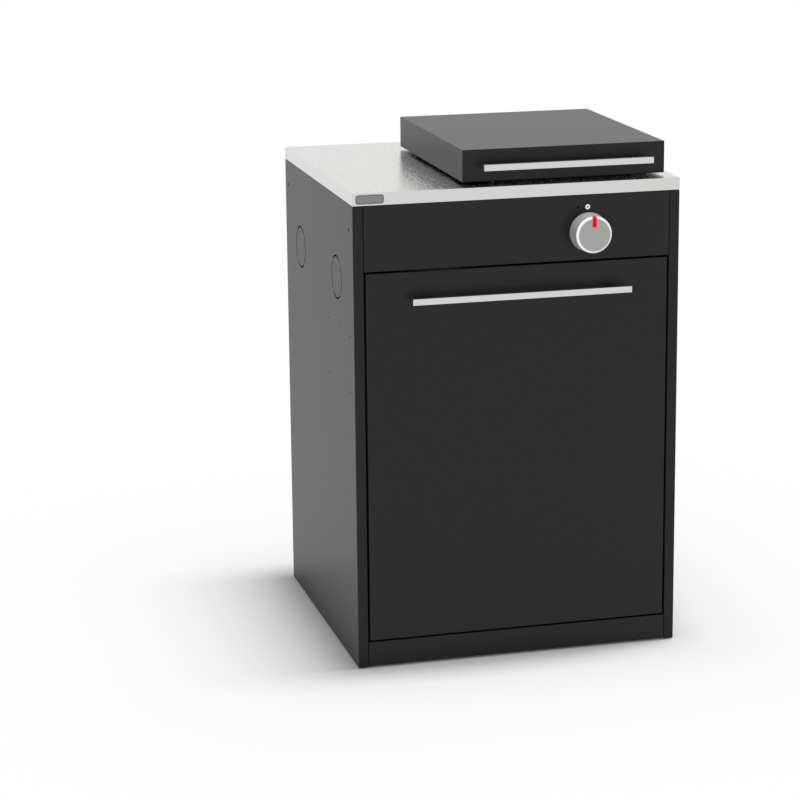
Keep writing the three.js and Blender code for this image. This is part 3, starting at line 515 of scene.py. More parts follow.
class Groups:
    """Shader node groups that several finishes share, each made once."""

    NOWHERE: ClassVar[Triple] = (0.0, 0.0, 0.0)
    GREY: ClassVar[tuple[float, ...]] = (0.5, 0.5, 0.5, 1.0)
    KINDS: ClassVar[dict[int, str]] = {1: "NodeSocketFloat", 3: "NodeSocketVector", 4: "NodeSocketColor"}
    STRETCHED: ClassVar[Links] = (
        ("start.Vector", "stretch.0"), ("start.Stretch", "stretch.1"), ("stretch.Vector", "noise.Vector"),
        ("start.Scale", "noise.Scale"),
    )

    @classmethod
    def made(
        cls, name: str, inputs: dict[str, object], outputs: dict[str, object], plan: NodePlan, links: Links,
    ) -> bpy.types.NodeTree:
        """A group, made on the first call and kept.

        Args:
            name: the group's name.
            inputs: name and usual value of each input.
            outputs: name and a value of the kind of each output.
            plan: its nodes, as lay_nodes takes them.
            links: its links, with start and end as the group's own ends.

        Returns:
            The group.
        """
        tree = bpy.data.node_groups.get(name)
        if tree is not None:
            return tree
        tree = bpy.data.node_groups.new(name, "ShaderNodeTree")
        for way, sockets in (("INPUT", inputs), ("OUTPUT", outputs)):
            for label, value in sockets.items():
                kind = cls.KINDS[len(value) if isinstance(value, tuple) else 1]
                tree.interface.new_socket(name=label, in_out=way, socket_type=kind).default_value = value
        start, end = tree.nodes.new("NodeGroupInput"), tree.nodes.new("NodeGroupOutput")
        lay_nodes(tree, plan, links, start=start, end=end)
        return tree

    @classmethod
    def grain(cls) -> bpy.types.NodeTree:
        """Grain that can be drawn out along an axis, as a height.

        Returns:
            The group.
        """
        return cls.made(
            "surface_grain",
            {"Vector": cls.NOWHERE, "Stretch": (1.0, 1.0, 1.0), "Scale": 900.0, "Detail": 3.0},
            {"Height": 0.0},
            {"stretch": ("VectorMath", {"operation": "MULTIPLY"}), "noise": ("TexNoise", {"Roughness": 0.6})},
            (*cls.STRETCHED, ("start.Detail", "noise.Detail"), ("noise.Fac", "end.Height")),
        )

    @classmethod
    def drift(cls) -> bpy.types.NodeTree:
        """Drift over a surface between two values and between two colours.

        Returns:
            The group.
        """
        return cls.made(
            "slow_drift",
            {
                "Vector": cls.NOWHERE, "Stretch": (1.0, 1.0, 1.0), "Scale": 6.0, "Low": 0.3, "High": 0.4,
                "First": cls.GREY, "Second": cls.GREY,
            },
            {"Value": 0.0, "Colour": cls.GREY},
            {
                "stretch": ("VectorMath", {"operation": "MULTIPLY"}),
                "noise": ("TexNoise", {"Detail": 4.0}),
                "spread": ("MapRange", {"From Min": 0.3, "From Max": 0.7}),
                "mix": ("Mix", {"data_type": "RGBA"}),
            },
            (
                *cls.STRETCHED, ("noise.Fac", "spread.Value"), ("start.Low", "spread.To Min"),
                ("start.High", "spread.To Max"), ("noise.Fac", "mix.Factor"), ("start.First", "mix.A"),
                ("start.Second", "mix.B"), ("spread.Result", "end.Value"), ("mix.Result", "end.Colour"),
            ),
        )

    @classmethod
    def lathe_rings(cls) -> bpy.types.NodeTree:
        """Fine rings left by turning, round the local Z axis.

        Returns:
            The group.
        """
        return cls.made(
            "lathe_rings",
            {"Vector": cls.NOWHERE, "Pitch": 0.0006},
            {"Height": 0.0},
            {
                "flat": ("VectorMath", {"operation": "MULTIPLY", 1: (1.0, 1.0, 0.0)}),
                "length": ("VectorMath", {"operation": "LENGTH"}),
                "divide": ("Math", {"operation": "DIVIDE"}),
                "noise": ("TexNoise", {"noise_dimensions": "1D", "Scale": 1.0, "Detail": 2.0}),
            },
            (
                ("start.Vector", "flat.0"), ("flat.Vector", "length.0"), ("length.Value", "divide.0"),
                ("start.Pitch", "divide.1"), ("divide.Value", "noise.W"), ("noise.Fac", "end.Height"),
            ),
        )


@dataclass(frozen=True)
class Finish:
    """A surface: two colours it drifts between, its gloss, and the height and grain of its texture."""

    name: str
    slot: str
    first: Triple
    second: Triple
    rough: Pair
    metallic: float = 0.0
    specular: float = 0.5
    coat: float = 0.0
    coat_rough: float = 0.1
    grain: float = 900.0
    stretch: Triple = (1.0, 1.0, 1.0)
    octaves: float = 3.0
    depth: float = 0.02 * MM
    strength: float = 0.3
    drift: float = 6.0
    rings: float = 0.0
    centre: Triple = (0.0, 0.0, 0.0)
    anisotropy: float = 0.0

    def texture(self) -> dict[str | int, object]:
        """The settings of the node that gives the texture's height: lathe rings, or else grain.

        Returns:
            The node's group and the values of its inputs.
        """
        if self.rings > 0:
            return {"node_tree": Groups.lathe_rings(), "Pitch": self.rings}
        settings = {"Scale": self.grain, "Stretch": self.stretch, "Detail": self.octaves}
        return {"node_tree": Groups.grain(), **settings}

    def build(self) -> bpy.types.Material:
        """Makes the material on the first call and keeps it.

        Returns:
            The material.
        """
        material = bpy.data.materials.get(self.name)
        if material is not None:
            return material
        material = bpy.data.materials.new(self.name)
        material.use_nodes = True
        shader = material.node_tree.nodes["Principled BSDF"]
        for socket, value in (
            ("Metallic", self.metallic), ("Specular IOR Level", self.specular), ("Coat Weight", self.coat),
            ("Coat Roughness", self.coat_rough), ("Anisotropic", self.anisotropy),
        ):
            shader.inputs[socket].default_value = value
        drift = {
            "node_tree": Groups.drift(), "Scale": self.drift, "Stretch": self.stretch, "Low": self.rough[0],
            "High": self.rough[1], "First": (*self.first, 1.0), "Second": (*self.second, 1.0),
        }
        plan = {
            "place": ("TexCoord", {}),
            "mapping": ("Mapping", {"vector_type": "TEXTURE", "Location": self.centre}),
            "drift": ("Group", drift),
            "bump": ("Bump", {"Strength": self.strength, "Distance": self.depth}),
            "texture": ("Group", self.texture()),
        }
        links = (
            ("place.Object", "mapping.Vector"), ("mapping.Vector", "drift.Vector"),
            ("drift.Value", "shader.Roughness"), ("drift.Colour", "shader.Base Color"),
            ("mapping.Vector", "texture.Vector"), ("texture.Height", "bump.Height"),
            ("bump.Normal", "shader.Normal"),
        )
        lay_nodes(material.node_tree, plan, links, shader=shader)
        return material


class Finishes:
    """Every finish of the island."""

    COATING = Finish(
        "black_powder_coating", "black_coating", (0.0078, 0.0078, 0.0079), (0.0092, 0.0092, 0.0093),
        (0.362, 0.378), specular=0.255, grain=1500.0, drift=260.0,
    )
    SIDE_COATING = replace(COATING, name="side_powder_coating", specular=0.228)
    # Painted shade: the walls of holes and slots are near black and barely glossy, standing for the shade
    # inside them.
    CUT_SHADE = Finish(
        "painted_cut_shade", "black_coating", (0.002, 0.002, 0.002), (0.003, 0.003, 0.003), (0.8, 0.9),
        specular=0.02, grain=1500.0, depth=0.01 * MM, strength=0.2,
    )
    WORKTOP = Finish(
        "worktop_brushed_steel", "worktop_steel", (0.635, 0.628, 0.615), (0.663, 0.656, 0.643), (0.12, 0.36),
        metallic=1.0, grain=420.0, stretch=(1.0, 0.22, 1.0), octaves=2.0, depth=0.4 * MM, strength=0.5,
        drift=480.0,
    )
    BAR = Finish(
        "satin_bar_steel", "handle_steel", (0.61, 0.603, 0.59), (0.68, 0.673, 0.66), (0.28, 0.34),
        metallic=1.0, grain=1200.0, stretch=(0.1, 1.0, 1.0), drift=40.0,
    )
    ZINC = Finish(
        "zinc_plating", "zinc_plate", (0.47, 0.48, 0.5), (0.6, 0.61, 0.62), (0.36, 0.46), metallic=1.0,
        grain=500.0, drift=45.0,
    )
    BADGE = Finish(
        "dark_badge_metal", "badge", (0.15, 0.15, 0.15), (0.19, 0.19, 0.19), (0.35, 0.45), metallic=0.5,
        grain=2500.0, stretch=(0.1, 1.0, 1.0), strength=0.2,
    )
    BADGE_FIELD = replace(
        BADGE, name="badge_field", first=(0.2, 0.2, 0.2), second=(0.26, 0.26, 0.26), rough=(0.4, 0.5),
    )
    ENAMEL = Finish(
        "black_enamel", "tray_enamel", (0.006, 0.006, 0.006), (0.009, 0.009, 0.009), (0.2, 0.27),
        specular=0.45, grain=260.0, depth=0.04 * MM, strength=0.16, drift=5.0,
    )
    SATIN_ENAMEL = replace(
        ENAMEL, name="satin_black_enamel", first=(0.009, 0.009, 0.009), second=(0.012, 0.012, 0.012),
        rough=(0.3, 0.36),
    )
    KNOB = Finish(
        "knob_satin_side", "knob_grey", (0.38, 0.38, 0.377), (0.44, 0.44, 0.437), (0.5, 0.56),
        metallic=0.1, specular=0.3, grain=1100.0, depth=0.03 * MM, strength=0.4, drift=400.0,
    )
    KNOB_FACE = Finish(
        "knob_satin_face", "knob_grey", (0.365, 0.365, 0.36), (0.395, 0.395, 0.39), (0.44, 0.5),
        metallic=0.6, grain=2200.0, depth=0.01 * MM, strength=0.2, drift=40.0,
    )
    # Painted highlight: the knob's bevel is coloured near white, standing for the light that it catches.
    KNOB_BEVEL_HIGHLIGHT = Finish(
        "knob_bevel_painted_highlight", "knob_grey", (0.93, 0.93, 0.92), (0.97, 0.97, 0.96), (0.3, 0.36), metallic=0.6,
        grain=3000.0, depth=0.004 * MM, strength=0.1, drift=40.0,
    )
    KNOB_TRIM = (KNOB_BEVEL_HIGHLIGHT, KNOB_FACE)
    RED = Finish(
        "red_moulding", "red_plastic", (0.93, 0.0, 0.003), (0.97, 0.0, 0.004), (0.36, 0.42),
        specular=0.1, grain=1800.0, depth=0.01 * MM, strength=0.2,
    )
    WIRE = Finish(
        "support_wire_steel", "support_wire", (0.3, 0.3, 0.3), (0.38, 0.38, 0.38), (0.42, 0.55),
        metallic=0.85, grain=700.0, depth=0.05 * MM, strength=0.4, drift=60.0,
    )
    BRASS = Finish(
        "machined_brass", "brass", (0.62, 0.42, 0.17), (0.7, 0.5, 0.23), (0.26, 0.38), metallic=1.0,
        grain=1500.0, strength=0.25, drift=30.0,
    )
    TURNED_BRASS = Finish(
        "turned_brass_face_burner", "brass", (0.55, 0.36, 0.14), (0.63, 0.43, 0.18), (0.2, 0.26),
        metallic=1.0, rings=0.7 * MM, depth=0.06 * MM, strength=0.55, drift=40.0, anisotropy=0.6,
    )
    CASTING = Finish(
        "dark_casting", "burner_casting", (0.035, 0.035, 0.037), (0.07, 0.07, 0.072), (0.5, 0.66),
        metallic=0.7, grain=650.0, depth=0.12 * MM, strength=0.6, drift=30.0,
    )
    RUBBER = Finish(
        "black_rubber", "rubber", (0.012, 0.012, 0.012), (0.02, 0.02, 0.02), (0.62, 0.78), specular=0.3,
        depth=0.04 * MM, strength=0.4, drift=20.0,
    )
    PLASTIC = Finish(
        "black_moulded_plastic", "black_plastic", (0.014, 0.014, 0.015), (0.022, 0.022, 0.023),
        (0.42, 0.55), specular=0.4, grain=1400.0, depth=0.03 * MM, strength=0.35, drift=20.0,
    )
    CERAMIC = Finish(
        "white_insulator", "ceramic", (0.74, 0.71, 0.64), (0.82, 0.8, 0.74), (0.2, 0.3), coat=0.4,
        grain=800.0, depth=0.01 * MM, strength=0.1, drift=60.0,
    )
    PRINT_WHITE = Finish(
        "white_print", "black_coating", (0.93, 0.93, 0.93), (0.96, 0.96, 0.96), (0.45, 0.5),
        grain=2500.0, depth=0.01 * MM, strength=0.15,
    )
    PRINT_GREY = replace(PRINT_WHITE, name="grey_print", first=(0.16, 0.16, 0.16), second=(0.2, 0.2, 0.2))


def publish(
    bm: Solid, name: str, body: str, finish: Finish, replaced: Sequence[str] = (),
    extra: Sequence[Finish] = (),
) -> None:
    """Makes a finished shape a piece of the island.

    Args:
        bm: the shape, in the part's frame; it is used up.
        name: the piece's name.
        body: the CAD body it rides on.
        finish: its main finish.
        replaced: the CAD nodes that it stands for.
        extra: finishes of further material indices.
    """
    piece = Mill.held(bm, name)
    mesh = piece.data
    for each in (finish, *extra):
        mesh.materials.append(each.build())
    mesh.shade_smooth()
    mesh.set_sharp_from_angle(angle=SHARP_ANGLE)
    even = piece.modifiers.new("even_shading", "WEIGHTED_NORMAL")
    even.keep_sharp = True
    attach(piece, body)
    if replaced:
        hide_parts(*replaced)
    LOG.info("%s on %s: %d faces", name, body, len(mesh.polygons))


@dataclass(frozen=True)
class ScrewHeads:
    """Low round screw heads with a socket, one mesh for a whole assembly."""

    radius: float = 3.4 * MM
    height: float = 1.6 * MM
    top_share: float = 0.82
    socket: float = 1.7 * MM
    socket_edge: float = 0.1 * MM
    socket_depth: float = 0.9 * MM
    sides: int = 12

    def head(self) -> Solid:
        """One head standing on z = 0: a short cone with a socket in its top.

        Returns:
            The head.
        """
        bm = bmesh.new()
        top_radius = self.radius * self.top_share
        bmesh.ops.create_cone(
            bm, cap_ends=True, segments=self.sides, radius1=self.radius, radius2=top_radius,
            depth=self.height,
        )
        bmesh.ops.translate(bm, vec=(0, 0, self.height / 2), verts=bm.verts)
        bm.normal_update()
        top = max(bm.faces, key=lambda face: face.calc_center_median().z)
        bmesh.ops.inset_region(bm, faces=[top], thickness=top_radius - self.socket)
        bmesh.ops.inset_region(bm, faces=[top], thickness=self.socket_edge, depth=-self.socket_depth)
        return bm

    def rows(self, places: Iterable[Triple], facing: Vector) -> Solid:
        """Heads at several places.

        Args:
            places: the middle of each head's underside.
            facing: the way their tops look.

        Returns:
            The heads as one mesh.
        """
        turn = UPWARD.rotation_difference(facing).to_matrix().to_4x4()
        shapes = []
        for place in places:
            bm = self.head()
            bmesh.ops.transform(bm, matrix=Matrix.Translation(place) @ turn, verts=bm.verts)
            shapes.append(bm)
        return Mill.joined(shapes)


@dataclass(frozen=True)
class Vents:
    """A row of vent slots, as cutters with rounded ends."""

    width: float
    height: float
    pitch: Vector
    count: int
    end_share: float = 0.49
    end_steps: int = 6

    def cutters(self, middle: Vector, normal: Axis) -> list[Solid]:
        """The cutters of the row.

        Args:
            middle: the middle of the row.
            normal: the way through the sheet.

        Returns:
            One cutter for each slot.
        """
        half = Vector((self.width / 2, self.height / 2, OVERRUN))
        tools = []
        for k in range(self.count):
            place = middle + self.pitch * (k - (self.count - 1) / 2)
            bm = Mill.rounded_corners(Extent(-half, half), 2, self.height * self.end_share, self.end_steps)
            bmesh.ops.transform(bm, matrix=Matrix.Translation(place) @ normal.matrix(), verts=bm.verts)
            tools.append(bm)
        return tools


@dataclass
class Cabinet:
    """The folded sheet body: side panels, fascia, plinth, back, floor, rails, worktop and feet."""

    side_fold: float = 2.1 * MM
    side_fold_steps: int = 3
    cutter_sheets: float = 3.0
    flange_return: float = 12 * MM
    other_flanges: float = 16 * MM
    trim_start: float = 1 * MM
    flange_lip: float = 10 * MM
    knockout_radius: float = 41 * MM
    knockout_slot: float = 3.4 * MM
    knockout_height: float = 741.5 * MM
    knockout_inset: float = 140 * MM
    knockout_tabs: int = 4
    knockout_steps: int = 16
    tab_share: float = 0.045
    joining_height: float = 851 * MM
    joining_inset: float = 31.5 * MM
    joining_radius: float = 3.5 * MM
    screw_radius: float = 2.0 * MM
    rows: tuple[tuple[float, tuple[int, ...]], ...] = ((647 * MM, (0, 1, 2, 4, 6)), (539 * MM, (0, 2, 6)))
    row_start: float = 37 * MM
    row_pitch: float = 88.4 * MM
    drill_sides: int = 24
    round_sides: int = 32
    dark_margin: float = 0.8
    fascia_reach: float = 8 * MM
    spindle_hole: float = 6 * MM
    spark_hole: float = 2 * MM
    spark_beside: float = 19.7 * MM
    mark_below: float = 23.4 * MM
    mark_beside: float = 0.8 * MM
    mark_skin: float = 0.08 * MM
    mark_ring: Pair = (1.7 * MM, 4.9 * MM)
    mark_ring_sides: int = 48
    mark_dot: float = 1.1 * MM
    floor_vents: Vents = Vents(90 * MM, 8 * MM, Vector((0, 26 * MM, 0)), 5)
    back_vents: Vents = Vents(80 * MM, 7 * MM, Vector((0, 0, 20 * MM)), 4)
    back_edge: float = 0.3 * MM
    low_vent: float = 60 * MM
    high_vent: float = 90 * MM
    stem_hole: float = 5.5 * MM
    worktop_lip: float = 15 * MM
    worktop_fold: float = 1.2 * MM
    cutout_side: float = 35 * MM
    cutout_front: float = 23 * MM
    cutout_rear: float = 77 * MM
    badge_corner: float = 5 * MM
    badge_steps: int = 8
    badge_rim: float = 2.2 * MM
    badge_step: float = 0.3 * MM
    pad_profile: Profile = mm((0, 0), (17.2, 0), (18, 0.8), (18, 3.5), (11, 6.4), (7, 7.4), (0, 7.4))
    pad_sides: int = 48
    pad_edge: float = 0.4 * MM
    thread_start: float = 6.8 * MM
    thread_pitch: float = 1.5 * MM
    thread_root: float = 4.5 * MM
    thread_crest: float = 5 * MM
    stem_tip: float = 3.6 * MM
    nut_radius: float = 10 * MM
    nut_height: float = 7 * MM
    nut_edge: float = 0.6 * MM
    nut_sides: int = 6
    back_screws: int = 5
    back_screw_inset: float = 60 * MM
    back_screw_below: float = 14 * MM
    heads: ScrewHeads = ScrewHeads(height=1.4 * MM)

    def build(self) -> None:
        """Builds every piece of the cabinet."""
        for side in Side:
            self.side_panel(side)
        self.fascia()
        self.plain_pans()
        self.floor_panel()
        self.back_panel()
        self.worktop()
        self.badge()
        for name in self.feet():
            self.foot(name)
        self.screws()

    @staticmethod
    def feet() -> list[str]:
        """The CAD names of the four feet."""
        return [f"foot_{end}_{side.label}" for end in ("front", "rear") for side in Side]

    def side_panel(self, side: Side) -> None:
        """One side: a folded panel with its return flange, knock-outs and holes.

        Args:
            side: the side of the island.
        """
        node = f"side_panel_{side.label}"
        extent = Extent.of(node)
        front, rear = extent.low.y, extent.high.y
        web_x, inner_x = extent.outer_first(side)
        cut_y = front + self.flange_return
        bm = Mill.block(extent)
        bmesh.ops.bisect_plane(
            bm, geom=[*bm.verts, *bm.edges, *bm.faces], plane_co=(0, cut_y, 0), plane_no=REARWARD,
        )
        bm.normal_update()
        centres = ((face, face.calc_center_median()) for face in bm.faces)
        open_faces = [face for face, at in centres if abs(at.x - inner_x) < FACE_SLACK and at.y > cut_y]
        bmesh.ops.delete(bm, geom=open_faces, context="FACES")
        Mill.soften(bm, self.side_fold, self.side_fold_steps)
        bm = Mill.thickened(bm)
        reach = SHEET * self.cutter_sheets
        trim_x = sorted((inner_x - side.value * OVERRUN, web_x - side.value * self.other_flanges))
        tools = [
            Mill.block(
                Extent.between(
                    (trim_x[0], cut_y + self.trim_start, extent.low.z - OVERRUN),
                    (trim_x[1], rear + OVERRUN, extent.high.z + OVERRUN),
                ),
            ),
        ]
        ends = (front + self.joining_inset, rear - self.joining_inset)
        spots = [(self.joining_radius, y, self.joining_height) for y in ends]
        for height, steps in self.rows:
            spots += [(self.screw_radius, front + self.row_start + k * self.row_pitch, height) for k in steps]
        start_x = web_x - reach / 2
        for radius, y, z in spots:
            tools.append(Mill.rod(Vector((start_x, y, z)), Axis.RIGHT, radius, reach, self.drill_sides))
        for y in (front + self.knockout_inset, rear - self.knockout_inset):
            tools += self.knockout(Vector((start_x, y, self.knockout_height)), reach)
        bm = Mill.carved(bm, tools)
        # the walls of the holes and slots take the painted shade
        self.paint_cut_shade(bm, Axis.RIGHT, extent)
        publish(bm, f"side_{side.label}", ROOT, Finishes.SIDE_COATING, [node], [Finishes.CUT_SHADE])

    def paint_cut_shade(self, bm: Solid, through: Axis, extent: Extent) -> None:
        """Gives the walls of the holes and slots in a panel's web the second material, a painted shade.

        Args:
            bm: the panel.
            through: the way the holes run.
            extent: the panel's box.
        """
        bm.normal_update()
        way = through.matrix().to_3x3() @ UPWARD
        across = [k for k in range(3) if abs(way[k]) < FACING]
        margin = self.other_flanges * self.dark_margin
        low, high = extent.low, extent.high
        outer = max((low.dot(way), high.dot(way)), key=abs)
        for face in bm.faces:
            centre = face.calc_center_median()
            inside = all(low[k] + margin < centre[k] < high[k] - margin for k in across)
            if inside and abs(centre.dot(way) - outer) < SHEET and abs(face.normal.dot(way)) < FACING:
                face.material_index = 1

    def knockout(self, place: Vector, reach: float) -> list[Solid]:
        """The curved slots of one knock-out, as cutters.

        Args:
            place: the middle of the knock-out, where the cutters start.
            reach: how far they run along X.

        Returns:
            The cutters, with a tab left between each two.
        """
        inner = self.knockout_radius - self.knockout_slot / 2
        outer = self.knockout_radius + self.knockout_slot / 2
        share = FULL_TURN / self.knockout_tabs
        slots = []
        for k in range(self.knockout_tabs):
            bm = bmesh.new()
            corners = [(inner, 0), (outer, 0), (outer, reach), (inner, reach)]
            face = bm.faces.new([bm.verts.new((r, 0, h)) for r, h in corners])
            bmesh.ops.spin(
                bm, geom=[face, *face.edges, *face.verts], cent=(0, 0, 0), axis=UPWARD,
                angle=share * (1 - 2 * self.tab_share), steps=self.knockout_steps, use_merge=False,
                use_normal_flip=False, use_duplicate=False,
            )
            bmesh.ops.recalc_face_normals(bm, faces=bm.faces)
            start = Matrix.Rotation(share * (k + self.tab_share - 0.5), 4, "Z")
            matrix = Matrix.Translation(place) @ Axis.RIGHT.matrix() @ start
            bmesh.ops.transform(bm, matrix=matrix, verts=bm.verts)
            slots.append(bm)
        return slots

    def fascia(self) -> None:
        """The fascia with its spindle hole, small hole and printed mark."""
        extent = Extent.of("fascia_panel")
        knob = Extent.of("front_knob").centre
        mark_z = Extent.of("worktop").low.z - self.mark_below
        drill_y = extent.low.y - self.fascia_reach / 2
        tools = [
            Mill.rod(Vector((x, drill_y, z)), Axis.REAR, radius, self.fascia_reach, self.round_sides)
            for radius, x, z in (
                (self.spindle_hole, knob.x, knob.z), (self.spark_hole, knob.x - self.spark_beside, mark_z),
            )
        ]
        bm = Mill.carved(FoldedPan(extent, REARWARD, lip=self.flange_lip).build(), tools)
        # the walls of the holes take the painted shade
        self.paint_cut_shade(bm, Axis.FRONT, extent)
        publish(bm, "fascia", ROOT, Finishes.COATING, ["fascia_panel"], [Finishes.CUT_SHADE])
        place = Vector((knob.x - self.mark_beside, extent.low.y, mark_z))
        skin = (0, self.mark_skin)
        ring = Mill.tube(place, Axis.FRONT, self.mark_ring, skin, self.mark_ring_sides)
        publish(ring, "printed_ring", ROOT, Finishes.PRINT_WHITE)
        dot = Mill.rod(place, Axis.FRONT, self.mark_dot, self.mark_skin, self.round_sides)
        publish(dot, "printed_dot", ROOT, Finishes.PRINT_GREY)

    def plain_pans(self) -> None:
        """The plinth and the two rails."""
        plinth = FoldedPan(Extent.of("plinth"), REARWARD, lip=self.flange_lip).build()
        publish(plinth, "plinth_front", ROOT, Finishes.COATING, ["plinth"])
        for place in ("front", "rear"):
            rail = FoldedPan(Extent.of(f"{place}_rail"), DOWNWARD).build()
            publish(rail, f"{place}_cross_rail", ROOT, Finishes.ZINC, [f"{place}_rail"])

    def floor_panel(self) -> None:
        """The floor with its vents and the four stem holes."""
        extent = Extent.of("floor_panel")
        tools = self.floor_vents.cutters(Vector((0, extent.centre.y, extent.high.z)), Axis.UP)
        for name in self.feet():
            start = Extent.of(name).plumb + UPWARD * (extent.high.z - OVERRUN)
            tools.append(Mill.rod(start, Axis.UP, self.stem_hole, 2 * OVERRUN, self.round_sides))
        bm = Mill.carved(FoldedPan(extent, DOWNWARD).build(), tools)
        publish(bm, "floor_pan", ROOT, Finishes.COATING, ["floor_panel"])

    def back_panel(self) -> None:
        """The flat back with two rows of vent slots."""
        extent = Extent.of("back_panel")
        tools = []
        for z in (extent.low.z + self.low_vent, extent.high.z - self.high_vent):
            tools += self.back_vents.cutters(Vector((0, extent.centre.y, z)), Axis.REAR)
        bm = Mill.carved(Mill.block(extent, self.back_edge), tools)
        publish(bm, "back_sheet", ROOT, Finishes.COATING, ["back_panel"])

    def worktop(self) -> None:
        """The steel worktop with the cut-out under the hob tray."""
        extent = Extent.of("worktop")
        tray = Extent.of("hob_tray")
        bm = FoldedPan(extent, DOWNWARD, lip=self.worktop_lip, fold=self.worktop_fold).build()
        cutout = Extent.between(
            (tray.low.x + self.cutout_side, tray.low.y + self.cutout_front, extent.high.z - OVERRUN),
            (tray.high.x - self.cutout_side, tray.high.y - self.cutout_rear, extent.high.z + OVERRUN),
        )
        publish(Mill.carved(bm, [Mill.block(cutout)]), "steel_worktop", ROOT, Finishes.WORKTOP, ["worktop"])

    def badge(self) -> None:
        """The blank badge: a rounded plate with a raised rim."""
        bm = Mill.rounded_corners(Extent.of("badge_plate"), 1, self.badge_corner, self.badge_steps)
        bm.normal_update()
        front = min(bm.faces, key=lambda face: face.normal.y)
        bmesh.ops.inset_region(bm, faces=[front], thickness=self.badge_rim)
        bmesh.ops.inset_region(bm, faces=[front], thickness=self.badge_step, depth=-self.badge_step)
        front.material_index = 1
        publish(bm, "blank_badge", ROOT, Finishes.BADGE, ["badge_plate"], [Finishes.BADGE_FIELD])

    def foot(self, name: str) -> None:
        """A levelling foot: a pad, a threaded stem and a nut under the floor.

        Args:
            name: the CAD node.
        """
        middle = Extent.of(name).plumb
        pad = Mill.turned(self.pad_profile, middle, Axis.UP, self.pad_sides, self.pad_edge)
        publish(pad, f"{name}_pad", ROOT, Finishes.RUBBER)
        thread: list[Pair] = [(0, self.thread_start)]
        height, top = self.thread_start, Extent.of(name).high.z
        while height + self.thread_pitch < top:
            thread += [(self.thread_root, height), (self.thread_crest, height + self.thread_pitch / 2)]
            height += self.thread_pitch
        thread += [(self.thread_root, height), (self.stem_tip, top), (0, top)]
        stem = Mill.turned(thread, middle, Axis.UP, self.drill_sides)
        nut = bmesh.new()
        bmesh.ops.create_cone(
            nut, cap_ends=True, segments=self.nut_sides, radius1=self.nut_radius, radius2=self.nut_radius,
            depth=self.nut_height,
        )
        under = Extent.of("floor_panel").high.z - SHEET - SEAT_GAP
        bmesh.ops.translate(nut, vec=middle + UPWARD * (under - self.nut_height / 2), verts=nut.verts)
        Mill.soften(nut, self.nut_edge)
        publish(Mill.joined([stem, nut]), f"{name}_stem", ROOT, Finishes.ZINC, [name])

    def screws(self) -> None:
        """Screw heads that hold the back to the panels and rails."""
        extent = Extent.of("back_panel")
        span = extent.size.x - 2 * self.back_screw_inset
        xs = [
            extent.low.x + self.back_screw_inset + span * k / (self.back_screws - 1)
            for k in range(self.back_screws)
        ]
        places = [(x, extent.high.y, extent.high.z - self.back_screw_below) for x in xs]
        publish(self.heads.rows(places, REARWARD), "back_screws", ROOT, Finishes.ZINC)


@dataclass
class Handle:
    """A square bar on two round posts."""

    prefix: str
    body: str
    edge: float = 0.8 * MM
    edge_steps: int = 3
    post_sides: int = 40
    post_edge: float = 0.25 * MM

    def build(self) -> None:
        """Builds the bar and its two posts, which are coated like the panel behind them."""
        node = f"{self.prefix}_handle_bar"
        bar = Mill.block(Extent.of(node), self.edge, self.edge_steps)
        publish(bar, f"{self.prefix}_bar", self.body, Finishes.BAR, [node])
        for side in Side:
            name = f"{self.prefix}_handle_post_{side.label}"
            extent = Extent.of(name)
            place = Vector((extent.centre.x, extent.high.y, extent.centre.z))
            radius, length = extent.size.x / 2, extent.size.y
            post = Mill.rod(place, Axis.FRONT, radius, length, self.post_sides, self.post_edge)
            publish(post, f"{self.prefix}_post_{side.label}", self.body, Finishes.COATING, [name])


